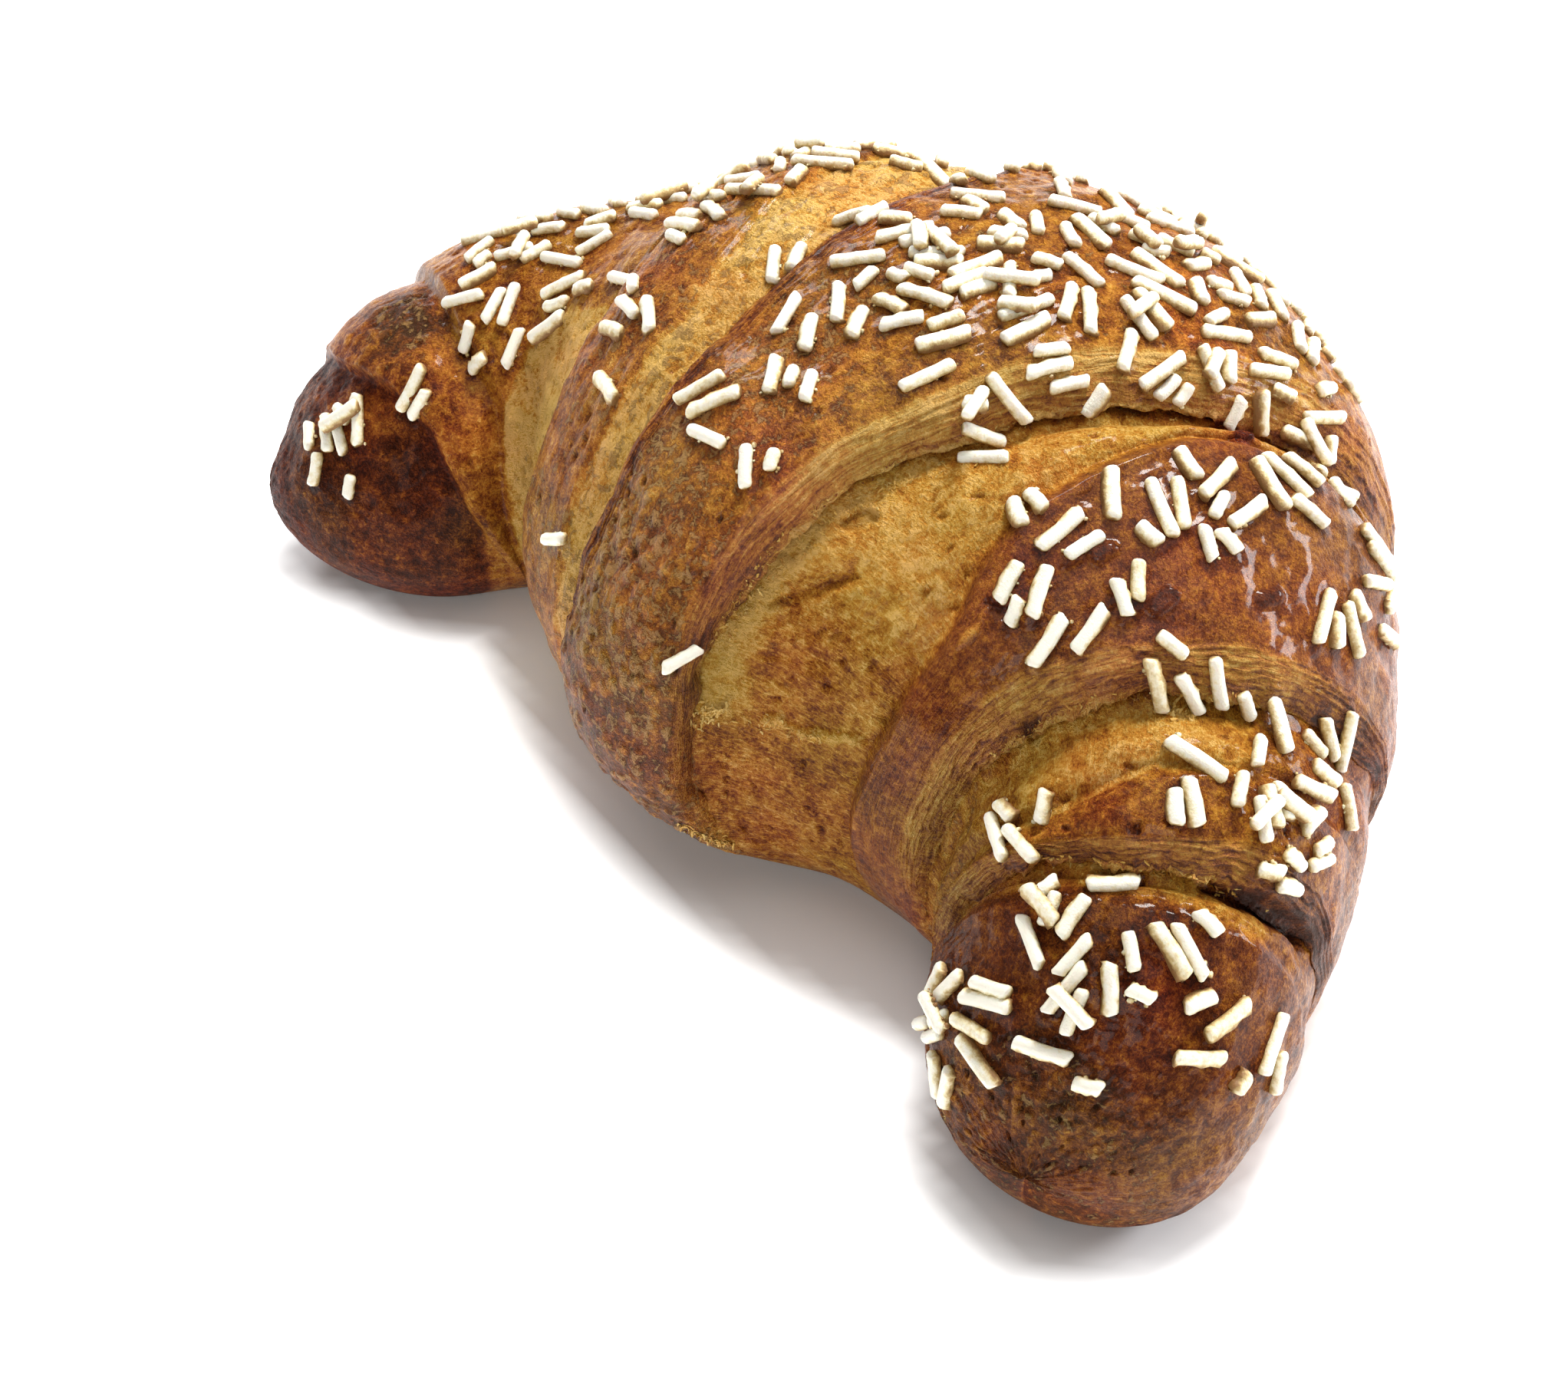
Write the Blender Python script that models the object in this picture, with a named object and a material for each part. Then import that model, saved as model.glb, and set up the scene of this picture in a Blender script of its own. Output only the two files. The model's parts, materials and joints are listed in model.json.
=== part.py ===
# A filled croissant, whole and uncut, with sugar rods fused to its glazed top.
# It is one solid: a roll of dough bent into a crescent, stepped where each wrap of dough ends,
# flat underneath. Metres, +Z up. The origin is under the middle of the whole, on the flat
# underside. The horns point towards -Y and the thick outer back faces +Y.

import functools
import math

import bmesh
import bpy
import numpy as np

MM = 0.001

# The roll, at nine evenly spaced stations from the left horn tip (s = -1) to the right one (s = 1):
# the middle line seen from above, half the width across that line, and the height of the top.
LINE_X = (-59.5, -50.5, -41.9, -22.7, 1.9, 23.7, 43.9, 55.5, 62.2)
LINE_Y = (-46.5, -24.3, -11.9, -5.1, -1.4, -2.1, -11.2, -24.4, -39.9)
HALF_WIDTH = (15.1, 18.5, 23.5, 35.1, 43.9, 36.2, 22.6, 16.6, 16.1)
TOP_HEIGHT = (24.2, 34.0, 40.4, 53.7, 57.0, 53.7, 44.1, 33.5, 26.0)
ROUNDED_END = (0.19, 0.21)  # share of s over which the left and the right horn round off
END_POWER = 2.3
WIDEST_AT = 0.42  # height of the widest point, as a share of the top
UNDERSIDE = 1.25  # how far the lower half would reach before the flat base cuts it
TOP_POWER = 0.95
MIDDLE = (1.65, -2.25)  # middle of the finished outline from above, moved to the origin

# The wrap edges, from the left horn to the right one. Each is a curve round the roll: the angle
# (0 outer back, 90 top, 180 inner front) and s there. The two heights are those of the crust just
# before and just after the edge, and face is the width of the slope between them, all in mm.
EDGES = (
    # left horn crease
    {"heights": (-1.2, 0.9), "face": 1.6,
     "at": ((30, -0.93), (75, -0.925), (90, -0.915), (105, -0.893), (120, -0.868), (135, -0.847),
            (150, -0.833), (165, -0.82), (180, -0.797), (195, -0.768), (210, -0.75))},
    # left pale bulge
    {"heights": (-0.5, 0.9), "face": 1.6,
     "at": ((30, -0.80), (75, -0.79), (105, -0.78), (120, -0.765), (135, -0.742), (150, -0.754),
            (165, -0.762), (180, -0.755), (195, -0.735), (210, -0.72))},
    # left wrap
    {"heights": (-0.9, 1.0), "face": 2.4,
     "at": ((30, -0.37), (60, -0.36), (90, -0.345), (120, -0.335), (150, -0.33), (165, -0.325),
            (180, -0.31), (210, -0.30))},
    # left glaze edge
    {"heights": (0.4, -0.3), "face": 1.6,
     "at": ((30, -0.25), (60, -0.24), (90, -0.233), (105, -0.216), (120, -0.20), (135, -0.195),
            (150, -0.198), (165, -0.18), (180, -0.17), (210, -0.17))},
    # middle wrap, left
    {"heights": (-1.4, 1.1), "face": 3.0,
     "at": ((30, -0.12), (60, -0.12), (90, -0.128), (120, -0.128), (150, -0.13), (170, -0.122),
            (210, -0.11))},
    # middle wrap, right
    {"heights": (2.2, -2.4), "face": 2.6,
     "at": ((0, 0.31), (30, 0.288), (45, 0.276), (60, 0.253), (75, 0.241), (90, 0.217),
            (100, 0.197), (105, 0.187), (120, 0.146), (135, 0.126), (150, 0.130), (165, 0.155),
            (180, 0.172), (210, 0.17))},
    # second wrap, glaze lip
    {"heights": (-0.8, 1.1), "face": 2.2,
     "at": ((0, 0.36), (30, 0.328), (45, 0.315), (60, 0.29), (75, 0.28), (90, 0.294),
            (105, 0.312), (115, 0.34), (125, 0.385), (135, 0.41), (150, 0.426), (165, 0.425),
            (180, 0.415), (210, 0.41))},
    # second wrap, end
    {"heights": (1.3, -2.2), "face": 3.2,
     "at": ((0, 0.46), (30, 0.495), (60, 0.51), (75, 0.518), (90, 0.523), (105, 0.527),
            (120, 0.538), (135, 0.548), (150, 0.553), (165, 0.56), (210, 0.56))},
    # third wrap, glaze lip
    {"heights": (-0.3, 0.6), "face": 2.0,
     "at": ((0, 0.54), (30, 0.565), (60, 0.585), (75, 0.598), (90, 0.612), (105, 0.645),
            (120, 0.67), (135, 0.68), (165, 0.68), (210, 0.67))},
    # third wrap, end
    {"heights": (1.0, -1.5), "face": 2.6,
     "at": ((0, 0.645), (30, 0.663), (45, 0.678), (60, 0.69), (75, 0.706), (90, 0.721),
            (105, 0.726), (120, 0.724), (150, 0.73), (210, 0.73))},
    # right horn glaze lip
    {"heights": (-0.6, 0.3), "face": 2.0,
     "at": ((0, 0.69), (30, 0.705), (60, 0.73), (90, 0.757), (120, 0.765), (150, 0.77),
            (210, 0.77))},
)
BAND_BULGE = (0.0, 0.3, 0.9, 0.2, 0.1, 0.7, 1.1, 0.5, 0.9, 0.3, 0.1, 0.0)  # between the edges, mm
BAND_COLUMNS = (9, 3, 6, 4, 3, 6, 5, 4, 4, 3, 2, 9)  # mesh columns across each band
RING_POINTS = 34
EDGE_SMOOTHING = 6  # degrees over which an edge's bends are rounded
DEGREES = np.arange(-110.0, 291.0)
MM_PER_S = 98.0  # length of the middle line for one unit of s, near the thick middle
SMALL_S = 0.002  # steps over which directions on the roll are taken
SMALL_ANGLE = 0.01
RELIEF_FADES = (0.1, -0.6)  # sine of the angle where the relief starts to fade and is gone
WARP_FADES = (-0.45, -0.97)
BACK_SHARE = 0.35  # of the relief, kept low on the outer back
BACK_FADES = (5.0, 65.0)
FRONT_SHARE = 0.55  # and lower again on the inner front
FRONT_FADES = (150.0, 195.0)
TIP_FADE = 0.12

# Sugar rods, in groups: s, angle, spread in s, spread in degrees, how many, the way they lie
# (degrees from the direction of the right horn towards the inner front) and its spread.
ROD_GROUPS = (
    (-0.95, 128, 0.02, 22, 7, 80, 50),
    (-0.86, 122, 0.02, 9, 2, -10, 20),
    (-0.73, 110, 0.05, 14, 7, -15, 50),
    (-0.60, 108, 0.08, 12, 8, 10, 40),
    (-0.62, 78, 0.11, 13, 22, 30, 70),
    (-0.45, 76, 0.07, 12, 12, 20, 60),
    (-0.42, 106, 0.05, 7, 2, 10, 20),
    (-0.29, 80, 0.05, 14, 18, 20, 60),
    (-0.28, 101, 0.03, 6, 5, 25, 25),
    (-0.245, 123, 0.03, 4, 4, 10, 50),
    (-0.22, 133, 0.005, 1, 1, 20, 20),
    (-0.20, 160, 0.005, 1, 1, -25, 10),
    (-0.155, 101, 0.015, 3, 2, 50, 50),
    (-0.12, 88, 0.03, 4, 4, 0, 30),
    (-0.04, 127, 0.03, 2, 3, -40, 30),
    (0.05, 126, 0.01, 1, 2, 70, 20),
    (0.01, 116, 0.03, 1, 3, 65, 15),
    (-0.04, 107, 0.04, 3, 4, 20, 60),
    (0.10, 157, 0.005, 1, 1, -60, 10),
    (0.02, 97, 0.09, 9, 24, -45, 45),
    (0.15, 96, 0.06, 8, 16, -40, 40),
    (0.00, 82, 0.09, 8, 17, -10, 60),
    (0.14, 77, 0.08, 7, 13, 20, 60),
    (0.06, 60, 0.08, 11, 30, 30, 80),
    (0.19, 56, 0.06, 11, 30, 30, 80),
    (-0.06, 60, 0.06, 12, 8, 60, 50),
    (0.27, 44, 0.03, 6, 9, 30, 70),
    (0.10, 38, 0.12, 8, 20, 40, 70),
    (-0.36, 64, 0.14, 7, 9, 20, 70),
    (-0.16, 60, 0.04, 8, 4, 40, 60),
    (0.335, 106, 0.03, 5, 4, 30, 45),
    (0.42, 109, 0.04, 7, 6, 30, 40),
    (0.38, 93, 0.05, 6, 6, -10, 60),
    (0.36, 77, 0.05, 7, 12, 10, 50),
    (0.34, 59, 0.035, 6, 6, -60, 50),
    (0.42, 52, 0.02, 8, 4, -20, 60),
    (0.37, 33, 0.03, 6, 5, 60, 40),
    (0.50, 84, 0.03, 8, 4, -35, 25),
    (0.515, 62, 0.015, 6, 3, -30, 50),
    (0.52, 36, 0.02, 9, 5, -70, 30),
    (0.62, 76, 0.04, 9, 8, -20, 50),
    (0.59, 60, 0.04, 7, 6, 0, 60),
    (0.57, 44, 0.03, 8, 6, 60, 40),
    (0.64, 50, 0.02, 8, 4, 30, 60),
    (0.67, 128, 0.04, 8, 4, -20, 30),
    (0.75, 92, 0.01, 4, 1, 60, 20),
    (0.775, 70, 0.02, 6, 4, -30, 40),
    (0.81, 104, 0.04, 9, 7, -20, 50),
    (0.84, 84, 0.04, 9, 7, -40, 50),
    (0.90, 92, 0.035, 12, 5, 40, 60),
    (0.91, 128, 0.025, 16, 7, 60, 50),
    (0.93, 158, 0.02, 16, 7, 80, 40),
    (0.87, 160, 0.02, 14, 4, 80, 40),
    (0.83, 50, 0.025, 6, 3, 20, 30),
    (0.94, 74, 0.005, 2, 1, 60, 20),
    (0.80, 25, 0.10, 12, 3, 30, 60),
)
ROD_SEED = 41
ROD_TRIES = 30
ROD_DIAMETER = 1.38
ROD_LENGTHS = (2.0, 4.8, 7.0)  # shortest, most likely and longest, mm
ROD_TOGETHER = 0.5  # share of the rods that lie close beside the one before, turned by up to ROD_FAN
ROD_BESIDE = (1.25, 3.0)  # how far apart the middles of two such rods are, mm
ROD_FAN = 85
ROD_STRAY = (0.015, 3.0)  # how far such a rod may lie outside its group, in s and degrees
ROD_GAP = 1.2  # least distance between the middle lines of two rods, mm
ROD_CHECKS = 7  # points along each rod where that distance is taken
ROD_SINK = 0.40  # share of the diameter that sits in the crust
ROD_SIDES = 6
RODS_MADE = 185  # the longest of them; finer sugar is left out of the solid

CRUST_COLOUR = (0.42, 0.17, 0.045, 1.0)


@functools.cache
def spline_bends(values):
    """The second derivative at each of the evenly spaced stations over -1 to 1."""
    y = np.asarray(values, float)
    count = len(y)
    step = 2.0 / (count - 1)
    matrix = np.zeros((count, count))
    right = np.zeros(count)
    for i in range(1, count - 1):
        matrix[i, i - 1:i + 2] = 1.0, 4.0, 1.0
        right[i] = 6.0 * (y[i - 1] - 2.0 * y[i] + y[i + 1]) / step**2
    matrix[0, :3] = 1.0, -2.0, 1.0
    matrix[-1, -3:] = 1.0, -2.0, 1.0
    return np.linalg.solve(matrix, right)


def spline(values, at, slope=False):
    """A smooth cubic curve through evenly spaced stations over -1 to 1, or its slope."""
    y = np.asarray(values, float)
    count = len(y)
    step = 2.0 / (count - 1)
    bend = spline_bends(values)
    i = np.clip(((at + 1.0) / step).astype(int), 0, count - 2)
    b = (at + 1.0) / step - i
    a = 1.0 - b
    if slope:
        rise = (y[i + 1] - y[i]) / step
        return rise + step / 6.0 * ((1.0 - 3.0 * a**2) * bend[i] + (3.0 * b**2 - 1.0) * bend[i + 1])
    curve = a * y[i] + b * y[i + 1]
    return curve + step**2 / 6.0 * ((a**3 - a) * bend[i] + (b**3 - b) * bend[i + 1])


def smooth(low, high, value):
    t = np.clip((value - low) / (high - low), 0.0, 1.0)
    return t * t * (3.0 - 2.0 * t)


def roll_point(s, angle):
    """The plain roll's surface, in mm, for arrays of s and of the angle round it in radians."""
    slope_x = spline(LINE_X, s, True)
    slope_y = spline(LINE_Y, s, True)
    length = np.hypot(slope_x, slope_y)
    share = np.where(s < 0, ROUNDED_END[0], ROUNDED_END[1])
    along = np.clip((np.abs(s) - (1.0 - share)) / share, 0.0, 1.0)
    rounding = np.sqrt(np.clip(1.0 - along**END_POWER, 0.0, 1.0))
    out = spline(HALF_WIDTH, s) * rounding * np.cos(angle)
    top = spline(TOP_HEIGHT, s)
    middle = WIDEST_AT * top
    sine = np.sin(angle)
    above = middle + (top - middle) * rounding * np.abs(sine)**TOP_POWER
    below = middle + middle * UNDERSIDE * rounding * sine
    x = spline(LINE_X, s) - slope_y / length * out
    y = spline(LINE_Y, s) + slope_x / length * out
    return np.stack([x, y, np.where(sine > 0, above, below)], axis=-1)


def roll_normal(s, angle):
    """The outward direction at the same places."""
    along = roll_point(np.clip(s + SMALL_S, -1, 1), angle) - roll_point(np.clip(s - SMALL_S, -1, 1), angle)
    around = roll_point(s, angle + SMALL_ANGLE) - roll_point(s, angle - SMALL_ANGLE)
    normal = np.cross(around, along)
    return normal / np.maximum(np.linalg.norm(normal, axis=-1, keepdims=True), 1e-9)


def roll_scale(s, angle):
    """Millimetres on the plain roll for one unit of s, and for one radian round it."""
    here = np.array([s])
    there = np.array([angle])
    along = roll_point(here + SMALL_S, there) - roll_point(here - SMALL_S, there)
    around = roll_point(here, there + SMALL_ANGLE) - roll_point(here, there - SMALL_ANGLE)
    return np.linalg.norm(along) / SMALL_S / 2, np.linalg.norm(around) / SMALL_ANGLE / 2


@functools.cache
def edge_table(at):
    """s of a wrap edge at every degree, with its bends rounded."""
    angles, places = zip(*at)
    line = np.interp(DEGREES, angles, places)
    reach = np.arange(-EDGE_SMOOTHING, EDGE_SMOOTHING + 1)
    weights = np.cos(reach / (EDGE_SMOOTHING + 1) * math.pi / 2)**2
    padded = np.pad(line, EDGE_SMOOTHING, mode="edge")
    return np.convolve(padded, weights / weights.sum(), "valid")


def edge_sides(band, angle):
    """s where a band between two wrap edges starts and ends, clear of the slopes on them."""
    start = np.full_like(angle, -1.0)
    end = np.full_like(angle, 1.0)
    degrees = np.degrees(angle)
    if band > 0:
        edge = EDGES[band - 1]
        start = np.interp(degrees, DEGREES, edge_table(edge["at"])) + edge["face"] / MM_PER_S / 2
    if band < len(EDGES):
        edge = EDGES[band]
        end = np.interp(degrees, DEGREES, edge_table(edge["at"])) - edge["face"] / MM_PER_S / 2
    return start, end


def band_height(band, t):
    """Height of the crust over the plain roll, in mm, at share t of the way across a band."""
    rise_from = EDGES[band - 1]["heights"][1] if band > 0 else 0.0
    rise_to = EDGES[band]["heights"][0] if band < len(EDGES) else 0.0
    return rise_from + (rise_to - rise_from) * smooth(0, 1, t) + BAND_BULGE[band] * 4 * t * (1 - t)


def relief_share(s, angle):
    """How much of that height shows: none on the base and the horn tips, less at back and front."""
    base = smooth(RELIEF_FADES[1], RELIEF_FADES[0], np.sin(angle))
    back = BACK_SHARE + (1 - BACK_SHARE) * smooth(*BACK_FADES, np.degrees(angle))
    front = 1 - (1 - FRONT_SHARE) * smooth(*FRONT_FADES, np.degrees(angle))
    return base * back * front * smooth(0.0, TIP_FADE, 1.0 - np.abs(s))


def crust_rings():
    """The stepped crust's rings from the left horn to the right one, flat at z = 0, in mm."""
    angle = np.radians(-90.0 + 360.0 * np.arange(RING_POINTS) / RING_POINTS)
    straight = np.full_like(angle, math.pi / 2)
    warp = smooth(WARP_FADES[1], WARP_FADES[0], np.sin(angle))
    rings = []
    for band, count in enumerate(BAND_COLUMNS):
        start, end = edge_sides(band, angle)
        plain_start, plain_end = edge_sides(band, straight)
        start = plain_start + (start - plain_start) * warp
        end = plain_end + (end - plain_end) * warp
        for k in range(count):
            t = k / (count - 1)
            if band == 0:
                t = ((k + 1) / count)**2
            if band == len(EDGES):
                t = 1.0 - (1.0 - k / count)**2
            s = start + (end - start) * t
            lift = band_height(band, t) * relief_share(s, angle)
            point = roll_point(s, angle) + roll_normal(s, angle) * lift[:, None]
            point[:, 2] = np.maximum(point[:, 2], 0.0)
            rings.append(point)
    return rings


def surface_height(s, angle):
    """The relief at any place on the crust, in mm, slopes included."""
    total = np.zeros_like(s)
    for band in range(len(BAND_COLUMNS)):
        start, end = edge_sides(band, angle)
        t = np.clip((s - start) / (end - start), 0.0, 1.0)
        total = np.where(s >= start, band_height(band, t), total)
        if band < len(EDGES):
            before, after = EDGES[band]["heights"]
            slope = np.clip((s - end) / (EDGES[band]["face"] / MM_PER_S), 0.0, 1.0)
            total = np.where(s > end, before + (after - before) * slope, total)
    return total * relief_share(s, angle)


def crust_point(s, angle):
    s = np.atleast_1d(np.asarray(s, float))
    angle = np.atleast_1d(np.asarray(angle, float))
    return roll_point(s, angle) + roll_normal(s, angle) * surface_height(s, angle)[:, None]


def draw_rod(rng, group, last):
    """One rod as s, angle, turn and length: close beside the last one, or anywhere in its group."""
    s0, degrees0, s_spread, degrees_spread, _, lie, lie_spread = group
    across, round_it, turned, beside = rng.uniform(-1, 1, 4)
    length = rng.triangular(*ROD_LENGTHS)
    if last is None or abs(beside) > ROD_TOGETHER:
        angle = math.radians(degrees0 + degrees_spread * round_it)
        return s0 + s_spread * across, angle, math.radians(lie + lie_spread * turned), length
    s, angle, turn = last
    per_s, per_angle = roll_scale(s, angle)
    way = math.pi * across
    reach = ROD_BESIDE[0] + (ROD_BESIDE[1] - ROD_BESIDE[0]) * abs(round_it)
    s += reach * math.cos(way) / per_s
    angle += reach * math.sin(way) / per_angle
    return s, angle, turn + math.radians(ROD_FAN) * turned, length


def in_group(s, angle, group):
    s_off = abs(s - group[0]) - group[2]
    degrees_off = abs(math.degrees(angle) - group[1]) - group[3]
    return s_off < ROD_STRAY[0] and degrees_off < ROD_STRAY[1]


def rod_reach(s, angle, turn, length):
    """Half a rod's length as steps in s and angle."""
    per_s, per_angle = roll_scale(s, angle)
    return length / 2 * math.cos(turn) / per_s, length / 2 * math.sin(turn) / per_angle


def rod_line(s, angle, turn, length):
    """A few points along a rod, as it would lie on the plain roll."""
    half_s, half_angle = rod_reach(s, angle, turn, length)
    ends = roll_point(np.array([s - half_s, s + half_s]), np.array([angle - half_angle, angle + half_angle]))
    low, high = ends
    return low + (high - low) * np.linspace(0.0, 1.0, ROD_CHECKS)[:, None]


def rod_at(s, angle, turn, length):
    """A rod's two ends and the outward direction there, in mm, half sunk in the crust."""
    half_s, half_angle = rod_reach(s, angle, turn, length)
    on_crust = crust_point([s - half_s, s, s + half_s], [angle - half_angle, angle, angle + half_angle])
    outward = roll_normal(np.array([s]), np.array([angle]))[0]
    centre = on_crust[1] * 0.5 + (on_crust[0] + on_crust[2]) * 0.25
    centre = centre + outward * ROD_DIAMETER * (0.5 - ROD_SINK)
    axis = on_crust[2] - on_crust[0]
    axis = axis / np.linalg.norm(axis)
    return centre - axis * length / 2, centre + axis * length / 2, outward


def place_rods():
    """Every sugar rod as s, angle, turn and length, longest first."""
    rng = np.random.RandomState(ROD_SEED)
    rods = []
    taken = np.zeros((0, 3))
    for group in ROD_GROUPS:
        last = None
        for _ in range(group[4]):
            for _ in range(ROD_TRIES):
                s, angle, turn, length = draw_rod(rng, group, last)
                line = rod_line(s, angle, turn, length)
                gaps = np.linalg.norm(taken[None] - line[:, None], axis=2)
                if in_group(s, angle, group) and (gaps.size == 0 or gaps.min() > ROD_GAP):
                    rods.append((s, angle, turn, length))
                    taken = np.concatenate([taken, line])
                    last = (s, angle, turn)
                    break
    rods.sort(key=lambda rod: -rod[3])
    return rods


def material_of(name, colour):
    found = bpy.data.materials.get(name)
    if found:
        return found
    material = bpy.data.materials.new(name)
    material.use_nodes = True
    shader = material.node_tree.nodes["Principled BSDF"]
    shader.inputs["Base Color"].default_value = colour
    shader.inputs["Roughness"].default_value = 0.4
    shader.inputs["Metallic"].default_value = 0.0
    return material


def new_object(name, mesh):
    mesh.materials.append(material_of("crust", CRUST_COLOUR))
    item = bpy.data.objects.new(name, mesh)
    bpy.context.scene.collection.objects.link(item)
    return item


def to_metres(point):
    return ((point[0] - MIDDLE[0]) * MM, (point[1] - MIDDLE[1]) * MM, point[2] * MM)


def make_crust():
    bm = bmesh.new()
    loops = [[bm.verts.new(to_metres(p)) for p in ring] for ring in crust_rings()]
    tips = roll_point(np.array([-1.0, 1.0]), np.zeros(2))
    first = bm.verts.new(to_metres(tips[0]))
    last = bm.verts.new(to_metres(tips[1]))
    for j in range(RING_POINTS):
        k = (j + 1) % RING_POINTS
        bm.faces.new((first, loops[0][j], loops[0][k]))
        bm.faces.new((last, loops[-1][k], loops[-1][j]))
        for low, high in zip(loops, loops[1:]):
            bm.faces.new((low[j], high[j], high[k], low[k]))
    bmesh.ops.triangulate(bm, faces=bm.faces[:])
    bmesh.ops.recalc_face_normals(bm, faces=bm.faces[:])
    mesh = bpy.data.meshes.new("croissant")
    bm.to_mesh(mesh)
    bm.free()
    mesh.shade_smooth()
    return new_object("croissant", mesh)


def make_rod(number, rod):
    """One six-sided rod."""
    low, high, outward = rod_at(*rod)
    axis = (high - low) / np.linalg.norm(high - low)
    side = np.cross(axis, outward)
    side = side / np.linalg.norm(side)
    up = np.cross(side, axis)
    radius = ROD_DIAMETER / 2
    bm = bmesh.new()
    loops = []
    for centre in (low, high):
        loop = []
        for j in range(ROD_SIDES):
            turn = 2 * math.pi * j / ROD_SIDES
            place = centre + (side * math.cos(turn) + up * math.sin(turn)) * radius
            loop.append(bm.verts.new(to_metres(place)))
        loops.append(loop)
    for j in range(ROD_SIDES):
        k = (j + 1) % ROD_SIDES
        bm.faces.new((loops[0][j], loops[0][k], loops[1][k], loops[1][j]))
    bm.faces.new(loops[0][::-1])
    bm.faces.new(loops[1])
    bmesh.ops.triangulate(bm, faces=bm.faces[:])
    bmesh.ops.recalc_face_normals(bm, faces=bm.faces[:])
    mesh = bpy.data.meshes.new(f"rod_{number}")
    bm.to_mesh(mesh)
    bm.free()
    return new_object(f"rod_{number}", mesh)


def fuse(body, pieces):
    """One union of the body with all the pieces, applied, with the pieces then removed."""
    group = bpy.data.collections.new("rods")
    bpy.context.scene.collection.children.link(group)
    for piece in pieces:
        bpy.context.scene.collection.objects.unlink(piece)
        group.objects.link(piece)
    union = body.modifiers.new("fuse", "BOOLEAN")
    union.operation = "UNION"
    union.operand_type = "COLLECTION"
    union.collection = group
    union.solver = "MANIFOLD"
    bpy.context.view_layer.objects.active = body
    bpy.ops.object.modifier_apply(modifier=union.name)
    for piece in pieces:
        bpy.data.objects.remove(piece, do_unlink=True)
    bpy.data.collections.remove(group)


def main():
    for item in list(bpy.data.objects):
        bpy.data.objects.remove(item, do_unlink=True)
    body = make_crust()
    rods = place_rods()
    pieces = [make_rod(number, rod) for number, rod in enumerate(rods[:RODS_MADE])]
    fuse(body, pieces)
    print("sugar rods placed", len(rods), "made", len(pieces), "triangles", len(body.data.polygons))


main()
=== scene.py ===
import json
import math

import bpy
import numpy as np
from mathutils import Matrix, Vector
from mathutils.bvhtree import BVHTree
from mathutils.kdtree import KDTree

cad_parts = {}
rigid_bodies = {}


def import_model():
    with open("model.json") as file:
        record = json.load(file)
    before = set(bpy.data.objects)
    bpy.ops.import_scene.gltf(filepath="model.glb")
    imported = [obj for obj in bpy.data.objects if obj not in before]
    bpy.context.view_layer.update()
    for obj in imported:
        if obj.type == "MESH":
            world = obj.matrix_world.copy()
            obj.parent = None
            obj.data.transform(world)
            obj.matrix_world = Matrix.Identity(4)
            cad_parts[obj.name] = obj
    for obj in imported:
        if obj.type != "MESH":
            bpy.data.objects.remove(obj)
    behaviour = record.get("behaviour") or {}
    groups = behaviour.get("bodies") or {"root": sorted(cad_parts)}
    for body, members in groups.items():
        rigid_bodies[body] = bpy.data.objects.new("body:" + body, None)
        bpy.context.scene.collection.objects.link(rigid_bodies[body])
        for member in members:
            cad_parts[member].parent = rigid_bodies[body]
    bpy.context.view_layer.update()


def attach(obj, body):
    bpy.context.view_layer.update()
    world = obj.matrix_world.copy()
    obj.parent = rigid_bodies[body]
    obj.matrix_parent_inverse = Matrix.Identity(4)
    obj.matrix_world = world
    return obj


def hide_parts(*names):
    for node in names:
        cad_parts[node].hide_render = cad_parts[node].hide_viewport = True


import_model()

mm = 0.001
detail = 1.0  # share of the mesh columns and rows

# the rolled dough, bent into a crescent: nine even stations from the left horn (s = -1) to the right one
# (s = 1), mm. Angles go round the roll: 0 degrees is the outer back, 90 the top, 180 the inner front.
roll = {
    "lineX": (-59.5, -50.5, -41.9, -22.7, 1.9, 23.7, 43.9, 55.5, 62.2),  # middle line from above
    "lineY": (-46.5, -24.3, -11.9, -5.1, -1.4, -2.1, -11.2, -24.4, -39.9),
    "halfWidth": (15.1, 18.5, 23.5, 35.1, 43.9, 36.2, 22.6, 16.6, 16.1),
    "topHeight": (24.2, 34.0, 40.4, 53.7, 57.0, 53.7, 44.1, 33.5, 26.0),
    "roundedEnd": (0.19, 0.21),  # share of s that rounds off at each horn
    "endPower": 2.3,
    "widestAt": 0.42,  # share of the height
    "underside": 1.25,  # over 1 is flatter below
    "topPower": 0.95,
    "middle": (1.65, -2.25),  # where the croissant's own middle lies
}


def smooth(low, high, value):
    t = np.clip((value - low) / (high - low), 0.0, 1.0)
    return t * t * (3.0 - 2.0 * t)


def mixed(a, b, share):
    return a + (b - a) * share


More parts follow.
